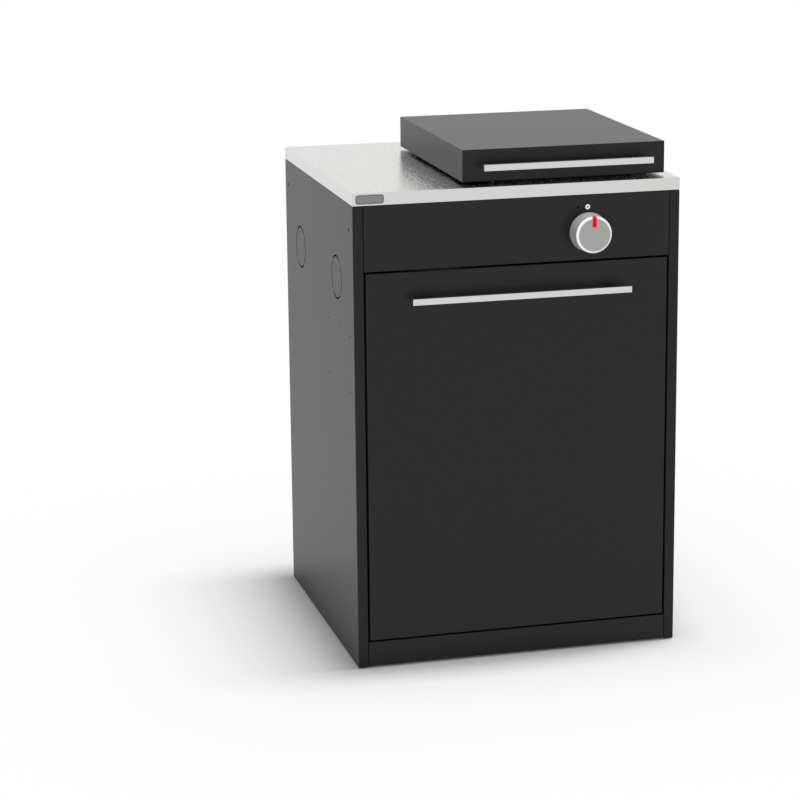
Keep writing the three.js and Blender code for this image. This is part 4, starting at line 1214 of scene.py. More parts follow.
@dataclass
class PullOut:
    """The pull-out: its double front, handle, side frames, bottle tray and the runners."""

    front_lip: float = 12 * MM
    liner_edge: float = 0.35 * MM
    frame_flange: float = 22 * MM
    front_post: float = 68 * MM
    rear_post: float = 60 * MM
    bottom_band: float = 44 * MM
    top_band: float = 78 * MM
    window_corner: float = 18 * MM
    window_steps: int = 8
    channel_wall: float = 1.2 * MM
    channel_edge: float = 0.4 * MM
    bracket_lip: float = 18 * MM
    bracket_edge: float = 0.5 * MM
    liner_screw_side: float = 40 * MM
    liner_screw_end: float = 6 * MM
    frame_screws: int = 4
    frame_screw_start: float = 70 * MM
    frame_screw_pitch: float = 140 * MM
    heads: ScrewHeads = ScrewHeads()

    def build(self) -> None:
        """Builds every piece that rides on the pull-out and the runners."""
        front = FoldedPan(Extent.of("drawer_front"), REARWARD, lip=self.front_lip).build()
        publish(front, "pull_out_front", PULL_OUT, Finishes.COATING, ["drawer_front"])
        liner = Mill.block(Extent.of("drawer_liner"), self.liner_edge)
        publish(liner, "pull_out_liner", PULL_OUT, Finishes.COATING, ["drawer_liner"])
        Handle("drawer", PULL_OUT).build()
        tray = FoldedPan(Extent.of("bottle_tray"), UPWARD, missing=-REARWARD).build()
        publish(tray, "bottle_floor", PULL_OUT, Finishes.ZINC, ["bottle_tray"])
        for side in Side:
            self.side_frame(side)
            for part, body in (("outer", ROOT), ("middle", MIDDLE), ("inner", PULL_OUT)):
                self.runner_channel(part, side, body)
            self.bracket(side)
        self.screws()

    def side_frame(self, side: Side) -> None:
        """An L-shaped side frame with its window.

        Args:
            side: the side that it is on.
        """
        node = f"side_frame_{side.label}"
        extent = Extent.of(node)
        low, high = extent.low, extent.high
        outer, _ = extent.outer_first(side)
        corner = outer - side.value * SHEET
        flange = outer - side.value * self.frame_flange
        front = low.y + SHEET
        corners = (
            (outer, low.y), (flange, low.y), (flange, front), (corner, front), (corner, high.y),
            (outer, high.y),
        )
        outline = [Vector((x, y, low.z)) for x, y in corners]
        window = Extent.between(
            (min(outer, corner) - OVERRUN, low.y + self.front_post, low.z + self.bottom_band),
            (max(outer, corner) + OVERRUN, high.y - self.rear_post, high.z - self.top_band),
        )
        tool = Mill.rounded_corners(window, 0, self.window_corner, self.window_steps)
        bm = Mill.carved(Mill.drawn(outline, UPWARD * extent.size.z), [tool])
        publish(bm, f"frame_{side.label}", PULL_OUT, Finishes.ZINC, [node])

    def runner_channel(self, part: str, side: Side, body: str) -> None:
        """One C-shaped channel of a runner; the inner one has its back towards the middle.

        Args:
            part: outer, middle or inner.
            side: the side that it is on.
            body: the body that it rides on.
        """
        node = f"runner_{part}_{side.label}"
        extent, wall = Extent.of(node), self.channel_wall
        low, high = extent.low.z, extent.high.z
        back_side = side.other if part == "inner" else side
        back, lip = extent.outer_first(back_side)
        inside = back - back_side.value * wall
        outline = [
            (back, low), (lip, low), (lip, low + wall), (inside, low + wall), (inside, high - wall),
            (lip, high - wall), (lip, high), (back, high),
        ]
        bm = Mill.channel(extent, outline, self.channel_edge)
        publish(bm, f"{part}_channel_{side.label}", body, Finishes.ZINC, [node])

    def bracket(self, side: Side) -> None:
        """The hat-shaped bracket that carries the outer channel.

        Args:
            side: the side that it is on.
        """
        node = f"runner_bracket_{side.label}"
        extent = Extent.of(node)
        low, high = extent.low, extent.high
        wall, web = extent.outer_first(side)
        inner_wall, inner_web = wall - side.value * SHEET, web + side.value * SHEET
        bottom, top = low.z + self.bracket_lip, high.z - self.bracket_lip
        outline = [
            (web, bottom), (web, top), (inner_wall, top), (inner_wall, high.z), (wall, high.z),
            (wall, top - SHEET), (inner_web, top - SHEET), (inner_web, bottom + SHEET),
            (wall, bottom + SHEET), (wall, low.z), (inner_wall, low.z), (inner_wall, bottom),
        ]
        bm = Mill.channel(extent, outline, self.bracket_edge)
        publish(bm, f"bracket_{side.label}", ROOT, Finishes.ZINC, [node])

    def screws(self) -> None:
        """Screw heads round the inner skin and on the side frames' front flanges."""
        low, high = Extent.of("drawer_liner").low, Extent.of("drawer_liner").high
        inset, end = self.liner_screw_side, self.liner_screw_end
        places = [
            (x, high.y, z)
            for x in (low.x + inset, Extent.of("drawer_liner").centre.x, high.x - inset)
            for z in (low.z + end, high.z - end)
        ]
        for side in Side:
            extent = Extent.of(f"side_frame_{side.label}")
            start = extent.low.z + self.frame_screw_start
            places += [
                (extent.centre.x, extent.low.y + SHEET, start + k * self.frame_screw_pitch)
                for k in range(self.frame_screws)
            ]
        publish(self.heads.rows(places, REARWARD), "pull_out_screws", PULL_OUT, Finishes.ZINC)


@dataclass
class LidAssembly:
    """The lid over the hob: shell, handle, buffers and hinges."""

    lip: float = 12 * MM
    fold: float = 1.4 * MM
    round_sides: int = 40
    buffer_edge: float = 0.35 * MM
    buffer_foot_share: float = 0.8
    buffer_cone_share: float = 0.3
    barrel: float = 4.5 * MM
    barrel_edge: float = 0.25 * MM
    bore: float = 2.3 * MM
    gap: float = 0.5 * MM
    centre_share: float = 0.2
    leaf: float = 2 * MM
    leaf_edge: float = 0.4 * MM
    pin_radius: float = 2 * MM
    pin_chamfer: float = 0.4 * MM
    pin_sides: int = 32
    screw_spread: float = 0.3
    screw_inset: float = 9 * MM
    heads: ScrewHeads = ScrewHeads(radius=3 * MM, height=1.2 * MM)

    def build(self) -> None:
        """Builds every piece of the lid and its hinges."""
        shell = FoldedPan(Extent.of("lid_shell"), DOWNWARD, lip=self.lip, fold=self.fold).build()
        publish(shell, "lid_cover", LID, Finishes.COATING, ["lid_shell"])
        Handle("lid", LID).build()
        for side in Side:
            self.buffer(side)
            self.hinge(side)

    def buffer(self, side: Side) -> None:
        """One rubber buffer under a front corner.

        Args:
            side: the side that it is on.
        """
        node = f"lid_buffer_{side.label}"
        extent = Extent.of(node)
        radius, height = extent.size.x / 2, extent.size.z
        profile = [
            (0, 0), (radius * self.buffer_foot_share, 0), (radius, height * self.buffer_cone_share),
            (radius, height), (0, height),
        ]
        bm = Mill.turned(profile, extent.base, Axis.UP, self.round_sides, self.buffer_edge)
        publish(bm, f"buffer_{side.label}", LID, Finishes.RUBBER, [node])

    def knuckle(self, axis: Vector, start: float, end: float) -> Solid:
        """A stretch of barrel round a hinge pin, between two distances from the pin's middle."""
        radii = (self.bore, self.barrel)
        return Mill.tube(axis, Axis.RIGHT, radii, (start, end), self.round_sides, self.barrel_edge)

    def hinge(self, side: Side) -> None:
        """One butt hinge: the leaf on the lid, the leaf on the worktop, the pin and its screws.

        Args:
            side: the side that it is on.
        """
        label = side.label
        leaf, base, pin = (Extent.of(f"hinge_{part}_{label}") for part in ("leaf", "base", "pin"))
        axis, gap, width = pin.centre, self.gap, leaf.size.x
        half = width * self.centre_share
        back = leaf.low.y + self.leaf
        clear = axis.z + self.barrel + gap
        plate = Extent.between((leaf.low.x, leaf.low.y, clear), (leaf.high.x, back, leaf.high.z))
        ears = [
            Mill.block(Extent.between((low, leaf.low.y, axis.z), (high, back, clear + gap)))
            for low, high in ((leaf.low.x, axis.x - half - gap), (axis.x + half + gap, leaf.high.x))
        ]
        rolls = [
            self.knuckle(axis, start, end)
            for start, end in ((-width / 2, -half - gap), (half + gap, width / 2))
        ]
        moving = Mill.joined([Mill.block(plate, self.leaf_edge), *ears, *rolls])
        publish(moving, f"lid_leaf_{label}", LID, Finishes.BAR, [f"hinge_leaf_{label}"])
        flat_y, top = axis.y + self.barrel + gap, base.low.z + self.leaf
        flat = Extent.between((base.low.x, flat_y, base.low.z), (base.high.x, base.high.y, top))
        neck = Extent.between(
            (axis.x - half, axis.y, base.low.z + SEAT_GAP), (axis.x + half, flat_y + self.leaf, axis.z),
        )
        shapes = [Mill.block(flat, self.leaf_edge), Mill.block(neck), self.knuckle(axis, -half, half)]
        publish(Mill.joined(shapes), f"top_leaf_{label}", ROOT, Finishes.BAR, [f"hinge_base_{label}"])
        length, chamfer, radius = pin.size.x, self.pin_chamfer, self.pin_radius
        profile = [
            (0, 0), (radius - chamfer, 0), (radius, chamfer), (radius, length - chamfer),
            (radius - chamfer, length), (0, length),
        ]
        shaft = Mill.turned(profile, Vector((pin.low.x, axis.y, axis.z)), Axis.RIGHT, self.pin_sides)
        publish(shaft, f"pin_{label}", ROOT, Finishes.ZINC, [f"hinge_pin_{label}"])
        inset = self.screw_inset
        xs = [axis.x + way * width * self.screw_spread for way in (-1, 1)]
        screws = self.heads.rows([(x, back, leaf.high.z - inset) for x in xs], REARWARD)
        publish(screws, f"lid_leaf_screws_{label}", LID, Finishes.ZINC)
        screws = self.heads.rows([(x, base.high.y - inset, top) for x in xs], UPWARD)
        publish(screws, f"top_leaf_screws_{label}", ROOT, Finishes.ZINC)


@dataclass
class Knob:
    """A turned knob with a cut bevel, a hollow back and a hub."""

    radius: float = 37.5 * MM
    gap: float = 3.5 * MM
    face: float = 40.4 * MM
    front_radius: float = 35.2 * MM
    bevel_width: float = 4.2 * MM
    bevel_depth: float = 3.4 * MM
    wall: float = 3 * MM
    hub: float = 9 * MM
    face_wall: float = 6.5 * MM
    hub_start: float = 9.5 * MM
    sides: int = 128
    edge: float = 0.35 * MM
    slack: float = 0.01 * MM

    def shape(self, place: Vector, axis: Axis) -> Solid:
        """The knob standing at a place; its bevel takes the second material, a painted highlight, and its
        face the third.

        Args:
            place: the middle of the surface that it stands in front of.
            axis: the way its face looks.

        Returns:
            The knob.
        """
        ceiling = self.face - self.face_wall
        bore = self.radius - self.wall
        flat = self.front_radius - self.bevel_width
        profile = [
            (0, self.face), (flat, self.face), (self.front_radius, self.face - self.bevel_depth),
            (self.radius, self.gap), (bore, self.gap), (bore, ceiling - self.bevel_depth),
            (bore - self.bevel_width, ceiling), (self.hub, ceiling), (self.hub, self.hub_start),
            (0, self.hub_start),
        ]
        bm = Mill.turned(profile, place, axis, self.sides)
        bm.normal_update()
        inverse = (Matrix.Translation(place) @ axis.matrix()).inverted()
        # the face takes the third material, and the bevel the second, with its painted highlight
        for face in bm.faces:
            local = inverse @ face.calc_center_median()
            if local.z > self.face - self.slack:
                face.material_index = 2
            elif local.z > self.face - self.bevel_depth + self.slack and local.xy.length > flat:
                face.material_index = 1
        Mill.soften(bm, self.edge)
        return bm


@dataclass
class Controls:
    """The two knobs with their spindles, and the igniter."""

    knob: Knob = field(default_factory=Knob)
    pointer_width: float = 8 * MM
    pointer_inner: float = 14.6 * MM
    pointer_depth: float = 5 * MM
    pointer_proud: float = 0.5 * MM
    pointer_edge: float = 0.35 * MM
    pointer_edge_steps: int = 3
    slot_gap: float = 0.1 * MM
    spindle_radius: float = 4 * MM
    spindle_chamfer: float = 0.8 * MM
    spindle_sides: int = 40
    button_sides: int = 48
    button_rim: Profile = mm((0, 0.9), (0.3, 0.3), (1, 0), (1.6, 0))
    dish_share: float = 0.4
    dish_edge: float = 0.5 * MM
    dish_middle: float = 0.6 * MM
    case_radius: float = 10 * MM
    case_neck: float = 7 * MM
    case_mouth: float = 5.3 * MM
    case_chamfer: float = 0.6 * MM
    case_depth: float = 4.3 * MM

    def build(self) -> None:
        """Builds the front knob, the hob knob, both spindles and the igniter button."""
        self.front_knob()
        place = Extent.of("hob_knob").plumb + UPWARD * Extent.of("control_plate").high.z
        bm = self.knob.shape(place, Axis.UP)
        publish(bm, "burner_knob", "hob_knob", Finishes.KNOB, ["hob_knob"], Finishes.KNOB_TRIM)
        self.spindle("front", Axis.FRONT)
        self.spindle("hob", Axis.UP)
        self.igniter()

    def front_knob(self) -> None:
        """The fascia knob and its red pointer, let into the face and the bevel."""
        knob, gap = self.knob, self.slot_gap
        middle = Extent.of("front_knob").centre
        wall_y = Extent.of("fascia_panel").low.y
        place = Vector((middle.x, wall_y, middle.z))
        floor = wall_y - (knob.face - self.pointer_depth)
        half = self.pointer_width / 2 + gap
        slot = Extent.between(
            (place.x - half, wall_y - knob.face - OVERRUN, place.z + self.pointer_inner - gap),
            (place.x + half, floor, place.z + knob.radius + OVERRUN),
        )
        bm = Mill.carved(knob.shape(place, Axis.FRONT), [Mill.block(slot)])
        publish(bm, "fascia_knob", "front_knob", Finishes.KNOB, ["front_knob"], Finishes.KNOB_TRIM)
        face_y, tip = wall_y - knob.face - self.pointer_proud, knob.front_radius
        side = [
            (floor - gap, self.pointer_inner), (face_y, self.pointer_inner),
            (face_y, tip - knob.bevel_width), (face_y + knob.bevel_depth, tip), (floor - gap, tip),
        ]
        corners = [Vector((place.x - self.pointer_width / 2, y, place.z + z)) for y, z in side]
        along = Vector((self.pointer_width, 0, 0))
        bar = Mill.drawn(corners, along, self.pointer_edge, self.pointer_edge_steps)
        publish(bar, "red_pointer", "front_knob", Finishes.RED, ["front_knob_pointer"])

    def spindle(self, name: str, axis: Axis) -> None:
        """A tap spindle with a chamfered end.

        Args:
            name: front or hob.
            axis: the way it points.
        """
        extent = Extent.of(f"{name}_spindle")
        radius, chamfer, length = self.spindle_radius, self.spindle_chamfer, max(extent.size)
        start = extent.base
        if axis is Axis.FRONT:
            start = Vector((extent.centre.x, extent.high.y, extent.centre.z))
        profile = [
            (0, 0), (radius, 0), (radius, length - chamfer), (radius - chamfer, length), (0, length),
        ]
        bm = Mill.turned(profile, start, axis, self.spindle_sides)
        publish(bm, f"{name}_spindle_shaft", f"{name}_tap_spindle", Finishes.ZINC, [f"{name}_spindle"])

    def igniter(self) -> None:
        """The red button with its rounded, slightly dished top, and the case under it."""
        extent = Extent.of("igniter_button")
        radius, height = extent.size.x / 2, extent.size.z
        profile = [
            (0, 0), (radius, 0), *[(radius - inset, height - drop) for inset, drop in self.button_rim],
            (radius * self.dish_share, height - self.dish_edge), (0, height - self.dish_middle),
        ]
        bm = Mill.turned(profile, extent.base, Axis.UP, self.button_sides)
        publish(bm, "red_button", "igniter_button", Finishes.RED, ["igniter_button"])
        housing = Extent.of("igniter_housing")
        low, top = housing.low.z, housing.high.z
        under = Extent.of("worktop").high.z - SEAT_GAP
        pit = extent.low.z - self.case_depth
        body = [
            (0, low), (self.case_radius, low), (self.case_radius, under), (self.case_neck, under),
            (self.case_neck, top - self.case_chamfer), (self.case_neck - self.case_chamfer, top),
            (self.case_mouth, top), (self.case_mouth, pit), (0, pit),
        ]
        bm = Mill.turned(body, housing.plumb, Axis.UP, self.button_sides)
        publish(bm, "igniter_case", ROOT, Finishes.PLASTIC, ["igniter_housing"])


@dataclass
class Hob:
    """The hob tray, the burner, the pot support and the gas parts under them."""

    tray_extent: Extent = field(default_factory=lambda: Extent.of("hob_tray"))
    burner: Vector = field(default_factory=lambda: Extent.of("burner_cap").plumb)
    tray_lip: float = 6 * MM
    tray_fold: float = 2.4 * MM
    tray_fold_steps: int = 4
    hole_sides: int = 48
    burner_hole: float = 42 * MM
    spindle_hole: float = 6 * MM
    igniter_hole: float = 7.3 * MM
    electrode_hole: float = 2.5 * MM
    plate_edge: float = 0.7 * MM
    plate_edge_steps: int = 3
    cup_radius: float = 38 * MM
    cup_chamfer: float = 1 * MM
    cup_bore: float = 34 * MM
    cup_base: float = 3 * MM
    cup_mouth: float = 43 * MM
    flange_radius: float = 52 * MM
    flange_height: float = 2.5 * MM
    collar_radius: float = 47 * MM
    collar_foot: float = 48.5 * MM
    collar_start: float = 5 * MM
    casting_sides: int = 96
    casting_edge: float = 0.4 * MM
    ports: int = 36
    port_half: float = 0.9 * MM
    port_reach: Pair = (40 * MM, 50 * MM)
    port_rise: float = 2 * MM
    boss_radii: Pair = (6.5 * MM, 11 * MM)
    boss_reach: Pair = (36 * MM, 46 * MM)
    boss_height: float = 14 * MM
    cap_sides: int = 128
    cap_dish: float = 0.35 * MM
    cap_rim: Profile = mm((5.5, 0.9), (4.6, 1.3), (3.4, 0.2), (2.4, 0), (0.8, 0.4), (0, 1.4))
    cap_chamfer: float = 1 * MM
    cap_wall: float = 5 * MM
    cap_hollow: float = 3 * MM
    wire: float = 4.75 * MM
    leg_radius: float = 88 * MM
    ring_height: float = 15.5 * MM
    top_height: float = 37.5 * MM
    apex_radius: float = 23 * MM
    bend: float = 5.5 * MM
    weld: float = 1.2 * MM
    prongs: int = 3
    first_prong: float = math.pi / 6
    prong_spread: float = math.pi / 6
    wire_steps: int = 4
    ring_sides: int = 120
    ring_section: int = 20
    insulator_radius: float = 2 * MM
    insulator_top: float = 1.8 * MM
    insulator_collar: float = 3 * MM
    collar_height: float = 2.5 * MM
    insulator_edge: float = 0.2 * MM
    insulator_sides: int = 32
    tip_length: float = 4 * MM
    tip_root: float = 1 * MM
    tip_radius: float = 0.7 * MM
    tip_point: float = 0.6 * MM
    tip_sides: int = 20
    neck_length: float = 20 * MM
    neck_radius: float = 10 * MM
    neck_chamfer: float = 1 * MM
    neck_root: float = 1 * MM
    neck_bore: float = 4.3 * MM
    bore_depth: float = 12 * MM
    hob_tap_edge: float = 2 * MM
    tap_edge_steps: int = 3
    tap_width: float = 30 * MM
    tap_height: float = 40 * MM
    tap_neck: float = 18 * MM
    tap_neck_radius: float = 11 * MM
    front_tap_edge: float = 2.5 * MM
    nozzle_bore: float = 2.5 * MM
    nozzle_radius: float = 5 * MM
    barbs: int = 3
    barb_pitch: float = 7 * MM
    barb_radius: float = 6.2 * MM
    barb_step: float = 0.5 * MM
    barb_length: float = 6.8 * MM
    tube_radius: float = 9 * MM
    tube_bore: float = 6.5 * MM
    tube_edge: float = 0.3 * MM
    waist_radius: float = 8 * MM
    waist_shares: tuple[float, ...] = (0.7, 0.74, 0.86, 0.9)
    jet_bore: float = 3.5 * MM
    jet_depth: float = 7 * MM
    jet_shoulder: float = 1 * MM
    pipe_radius: float = 4 * MM
    pipe_bend: float = 14 * MM
    pipe_steps: int = 5
    round_sides: int = 40

    @property
    def floor(self) -> float:
        """The height of the tray's upper face."""
        return self.tray_extent.low.z + SHEET

    def build(self) -> None:
        """Builds every piece of the hob."""
        self.tray()
        self.burner_body()
        self.cap()
        self.pot_support()
        self.electrode()
        self.hob_tap()
        self.front_tap()
        self.pipes()

    def tray(self) -> None:
        """The enamelled tray with its openings, and the control plate on it."""
        controls = [
            (self.spindle_hole, Extent.of("hob_knob").plumb),
            (self.igniter_hole, Extent.of("igniter_button").plumb),
        ]
        electrode = (self.electrode_hole, Extent.of("spark_electrode").plumb)
        spots = [(self.burner_hole, self.burner), *controls, electrode]

        def drills(holes: Sequence[tuple[float, Vector]]) -> list[Solid]:
            """Upright drills through the tray's floor, each given by its radius and place."""
            rise = UPWARD * (self.floor - OVERRUN)
            return [Mill.rod(spot + rise, Axis.UP, r, 2 * OVERRUN, self.hole_sides) for r, spot in holes]

        bm = FoldedPan(
            self.tray_extent, UPWARD, lip=self.tray_lip, fold=self.tray_fold, fold_steps=self.tray_fold_steps,
        ).build()
        publish(Mill.carved(bm, drills(spots)), "enamelled_tray", ROOT, Finishes.ENAMEL, ["hob_tray"])
        plate = Mill.block(Extent.of("control_plate"), self.plate_edge, self.plate_edge_steps)
        plate = Mill.carved(plate, drills(controls))
        publish(plate, "raised_control_plate", ROOT, Finishes.SATIN_ENAMEL, ["control_plate"])

    def burner_body(self) -> None:
        """The burner body with its ring of flame ports under the cap."""
        extent = Extent.of("burner_body")
        bottom, top, seat = extent.low.z, extent.high.z, self.floor + SEAT_GAP
        cup, flange, collar = self.cup_radius, self.flange_radius, self.collar_radius
        shoulder, inside = seat + self.flange_height, bottom + self.cup_base
        profile = [
            (0, bottom), (cup - self.cup_chamfer, bottom), (cup, bottom + self.cup_chamfer), (cup, seat),
            (flange, seat), (flange, shoulder), (self.collar_foot, shoulder),
            (collar, seat + self.collar_start), (collar, top), (self.cup_mouth, top),
            (self.cup_bore, seat), (self.cup_bore, inside), (0, inside),
        ]
        bm = Mill.turned(profile, self.burner, Axis.UP, self.casting_sides, self.casting_edge)
        near, far = self.port_reach
        ports = []
        for k in range(self.ports):
            port = Mill.block(
                Extent.between(
                    (near, -self.port_half, top - OVERRUN), (far, self.port_half, top + self.port_rise),
                ),
            )
            turn = Matrix.Translation(self.burner) @ Matrix.Rotation(FULL_TURN * k / self.ports, 4, "Z")
            bmesh.ops.transform(port, matrix=turn, verts=port.verts)
            ports.append(port)
        bm = Mill.carved(bm, ports)
        place = self.burner + UPWARD * (bottom + self.boss_height)
        boss = Mill.tube(
            place, Axis.FRONT, self.boss_radii, self.boss_reach, self.round_sides, self.casting_edge,
        )
        publish(Mill.joined([bm, boss]), "burner_casting", ROOT, Finishes.CASTING, ["burner_body"])

    def cap(self) -> None:
        """The brass cap: a turned face, a shallow groove and a bright rim."""
        extent = Extent.of("burner_cap")
        top, low, radius = extent.high.z, extent.low.z, extent.size.x / 2
        inside, ceiling, chamfer = radius - self.cap_wall, low + self.cap_hollow, self.cap_chamfer
        profile = [
            (0, top - self.cap_dish), *[(radius - inset, top - drop) for inset, drop in self.cap_rim],
            (radius, low + chamfer), (radius - chamfer, low), (inside, low), (inside, ceiling),
            (0, ceiling),
        ]
        bm = Mill.turned(profile, self.burner, Axis.UP, self.cap_sides)
        bm.normal_update()
        for face in bm.faces:
            reach = (face.calc_center_median() - self.burner).xy.length
            if reach < inside and face.normal.z > FACING:
                face.material_index = 1
        turned_face = replace(Finishes.TURNED_BRASS, centre=tuple(self.burner))
        publish(bm, "brass_cap", ROOT, Finishes.BRASS, ["burner_cap"], [turned_face])

    def pot_support(self) -> None:
        """The wire ring and its three prongs."""
        ring_radius = self.leg_radius - self.wire * 2 + self.weld
        angles = [FULL_TURN * k / self.ring_section for k in range(self.ring_section)]
        section = [(ring_radius + self.wire * math.cos(a), self.wire * math.sin(a)) for a in angles]
        place = self.burner + UPWARD * (self.floor + self.ring_height)
        shapes = [Mill.turned(section, place, Axis.UP, self.ring_sides)]
        top, foot = self.floor + self.top_height, self.floor + SEAT_GAP
        legs, apex = self.leg_radius, self.apex_radius
        for k in range(self.prongs):
            middle = self.first_prong + k * FULL_TURN / self.prongs
            near, far = middle - self.prong_spread, middle + self.prong_spread
            corners = [
                self.burner + Vector((radius * math.cos(angle), radius * math.sin(angle), z))
                for radius, angle, z in (
                    (legs, near, foot), (legs, near, top), (apex, middle, top), (legs, far, top),
                    (legs, far, foot),
                )
            ]
            path = Mill.rounded_path(corners, self.bend)
            shapes.append(Mill.wire(path, self.wire, f"prong_{k}", self.wire_steps))
        publish(Mill.joined(shapes), "wire_pot_support", ROOT, Finishes.WIRE, ["pot_support"])

    def electrode(self) -> None:
        """The spark electrode: a white insulator with a metal tip."""
        extent = Extent.of("spark_electrode")
        low, high, seat = extent.low.z, extent.high.z, self.floor + SEAT_GAP
        radius, collar, rise = self.insulator_radius, self.insulator_collar, seat + self.collar_height
        end = high - self.tip_length
        body = [
            (0, low), (radius, low), (radius, seat), (collar, seat), (collar, rise), (radius, rise),
            (self.insulator_top, end), (0, end),
        ]
        bm = Mill.turned(body, extent.plumb, Axis.UP, self.insulator_sides, self.insulator_edge)
        publish(bm, "electrode_insulator", ROOT, Finishes.CERAMIC, ["spark_electrode"])
        root, radius = end - self.tip_root, self.tip_radius
        pin = [(0, root), (radius, root), (radius, high - self.tip_point), (0, high)]
        tip = Mill.turned(pin, extent.plumb, Axis.UP, self.tip_sides)
        publish(tip, "electrode_tip", ROOT, Finishes.ZINC)

    def hob_tap(self) -> None:
        """The tap under the hob knob: a body and a bored neck."""
        extent = Extent.of("hob_valve")
        low, high = extent.low, extent.high
        top, bottom = high.z, high.z - self.neck_length
        box = Extent.between(low, (high.x, high.y, bottom))
        body = Mill.block(box, self.hob_tap_edge, self.tap_edge_steps)
        bore, radius, chamfer = self.neck_bore, self.neck_radius, self.neck_chamfer
        root = bottom - self.neck_root
        profile = [
            (bore, top - self.bore_depth), (bore, top), (radius - chamfer, top), (radius, top - chamfer),
            (radius, root), (bore, root),
        ]
        neck = Mill.turned(profile, Extent.of("hob_spindle").plumb, Axis.UP, self.hole_sides)
        publish(Mill.joined([body, neck]), "hob_tap", ROOT, Finishes.BRASS, ["hob_valve"])

    def front_tap(self) -> None:
        """The tap behind the fascia with its ribbed hose nozzle."""
        extent = Extent.of("front_valve")
        knob = Extent.of("front_knob").centre
        front, rear = extent.low.y + self.tap_neck, extent.high.y
        half_width, half_height = self.tap_width / 2, self.tap_height / 2
        bottom = knob.z - half_height
        box = Extent.between(
            (knob.x - half_width, front, bottom), (knob.x + half_width, rear, knob.z + half_height),
        )
        body = Mill.block(box, self.front_tap_edge, self.tap_edge_steps)
        bore, radius, chamfer = self.neck_bore, self.tap_neck_radius, self.neck_chamfer
        end = self.tap_neck + self.neck_root
        profile = [(bore, 0), (radius - chamfer, 0), (radius, chamfer), (radius, end), (bore, end)]
        neck = Mill.turned(profile, Vector((knob.x, extent.low.y, knob.z)), Axis.REAR, self.hole_sides)
        length, bore, radius = bottom - extent.low.z, self.nozzle_bore, self.nozzle_radius
        barbed = [(bore, -length), (bore, self.neck_root), (radius, self.neck_root)]
        for k in range(self.barbs, 0, -1):
            start = k * self.barb_pitch - length
            barbed += [
                (radius, start), (self.barb_radius, start - self.barb_step),
                (radius, start - self.barb_length),
            ]
        place = Vector((knob.x, (front + rear) / 2, bottom))
        nozzle = Mill.turned(barbed, place, Axis.UP, self.round_sides)
        publish(Mill.joined([body, neck, nozzle]), "front_tap", ROOT, Finishes.BRASS, ["front_valve"])

    def pipes(self) -> None:
        """The mixing tube, and the rigid pipes: front tap to hob tap, and hob tap to the tube."""
        tube = Extent.of("mixing_tube")
        length, bend, wide, waist = tube.size.y, self.pipe_bend, self.tube_radius, self.waist_radius
        narrowing = zip((wide, waist, waist, wide), self.waist_shares)
        profile = [
            (self.tube_bore, 0), (wide, 0), *[(radius, length * share) for radius, share in narrowing],
            (wide, length), (self.jet_bore, length), (self.jet_bore, length - self.jet_depth),
            (self.tube_bore, length - self.jet_depth - self.jet_shoulder),
        ]
        place = Vector((tube.centre.x, tube.high.y, tube.centre.z))
        bm = Mill.turned(profile, place, Axis.FRONT, self.hole_sides, self.tube_edge)
        publish(bm, "air_mixing_tube", ROOT, Finishes.ZINC, ["mixing_tube"])
        hob, knob = Extent.of("hob_valve"), Extent.of("front_knob").centre
        x, y = hob.centre.x, hob.centre.y
        start = Extent.of("front_valve").high.y + SEAT_GAP
        outlet = (hob.low.z + hob.high.z - self.neck_length) / 2
        mouth = tube.low.y - SEAT_GAP
        supply = (
            (knob.x, start, knob.z), (knob.x, start + bend * 2, knob.z), (x, y, knob.z),
            (x, y, hob.low.z - SEAT_GAP),
        )
        feed = (
            (hob.low.x - SEAT_GAP, y, outlet), (self.burner.x, y, outlet),
            (self.burner.x, mouth - bend, tube.centre.z), (self.burner.x, mouth, tube.centre.z),
        )
        for corners, name, node in (
            (supply, "tap_supply_pipe", "supply_pipe"), (feed, "burner_feed_pipe", "burner_pipe"),
        ):
            path = Mill.rounded_path([Vector(corner) for corner in corners], bend)
            pipe = Mill.wire(path, self.pipe_radius, name, self.pipe_steps)
            publish(pipe, name, ROOT, Finishes.ZINC, [node])


@dataclass(frozen=True)
class SoftBox:
    """A rectangular lamp that lights the island but doesn't show in its gloss."""

    name: str
    place: Triple
    aim: Triple
    size: Pair
    watts: float

    def build(self) -> None:
        """Hangs the lamp."""
        data = bpy.data.lights.new(self.name, "AREA")
        data.shape = "RECTANGLE"
        data.size, data.size_y = self.size
        data.energy = self.watts
        lamp = bpy.data.objects.new(self.name, data)
        lamp.location = self.place
        way = Vector(self.aim) - Vector(self.place)
        lamp.rotation_euler = way.to_track_quat("-Z", "Y").to_euler()
        lamp.visible_glossy = False
        bpy.context.scene.collection.objects.link(lamp)


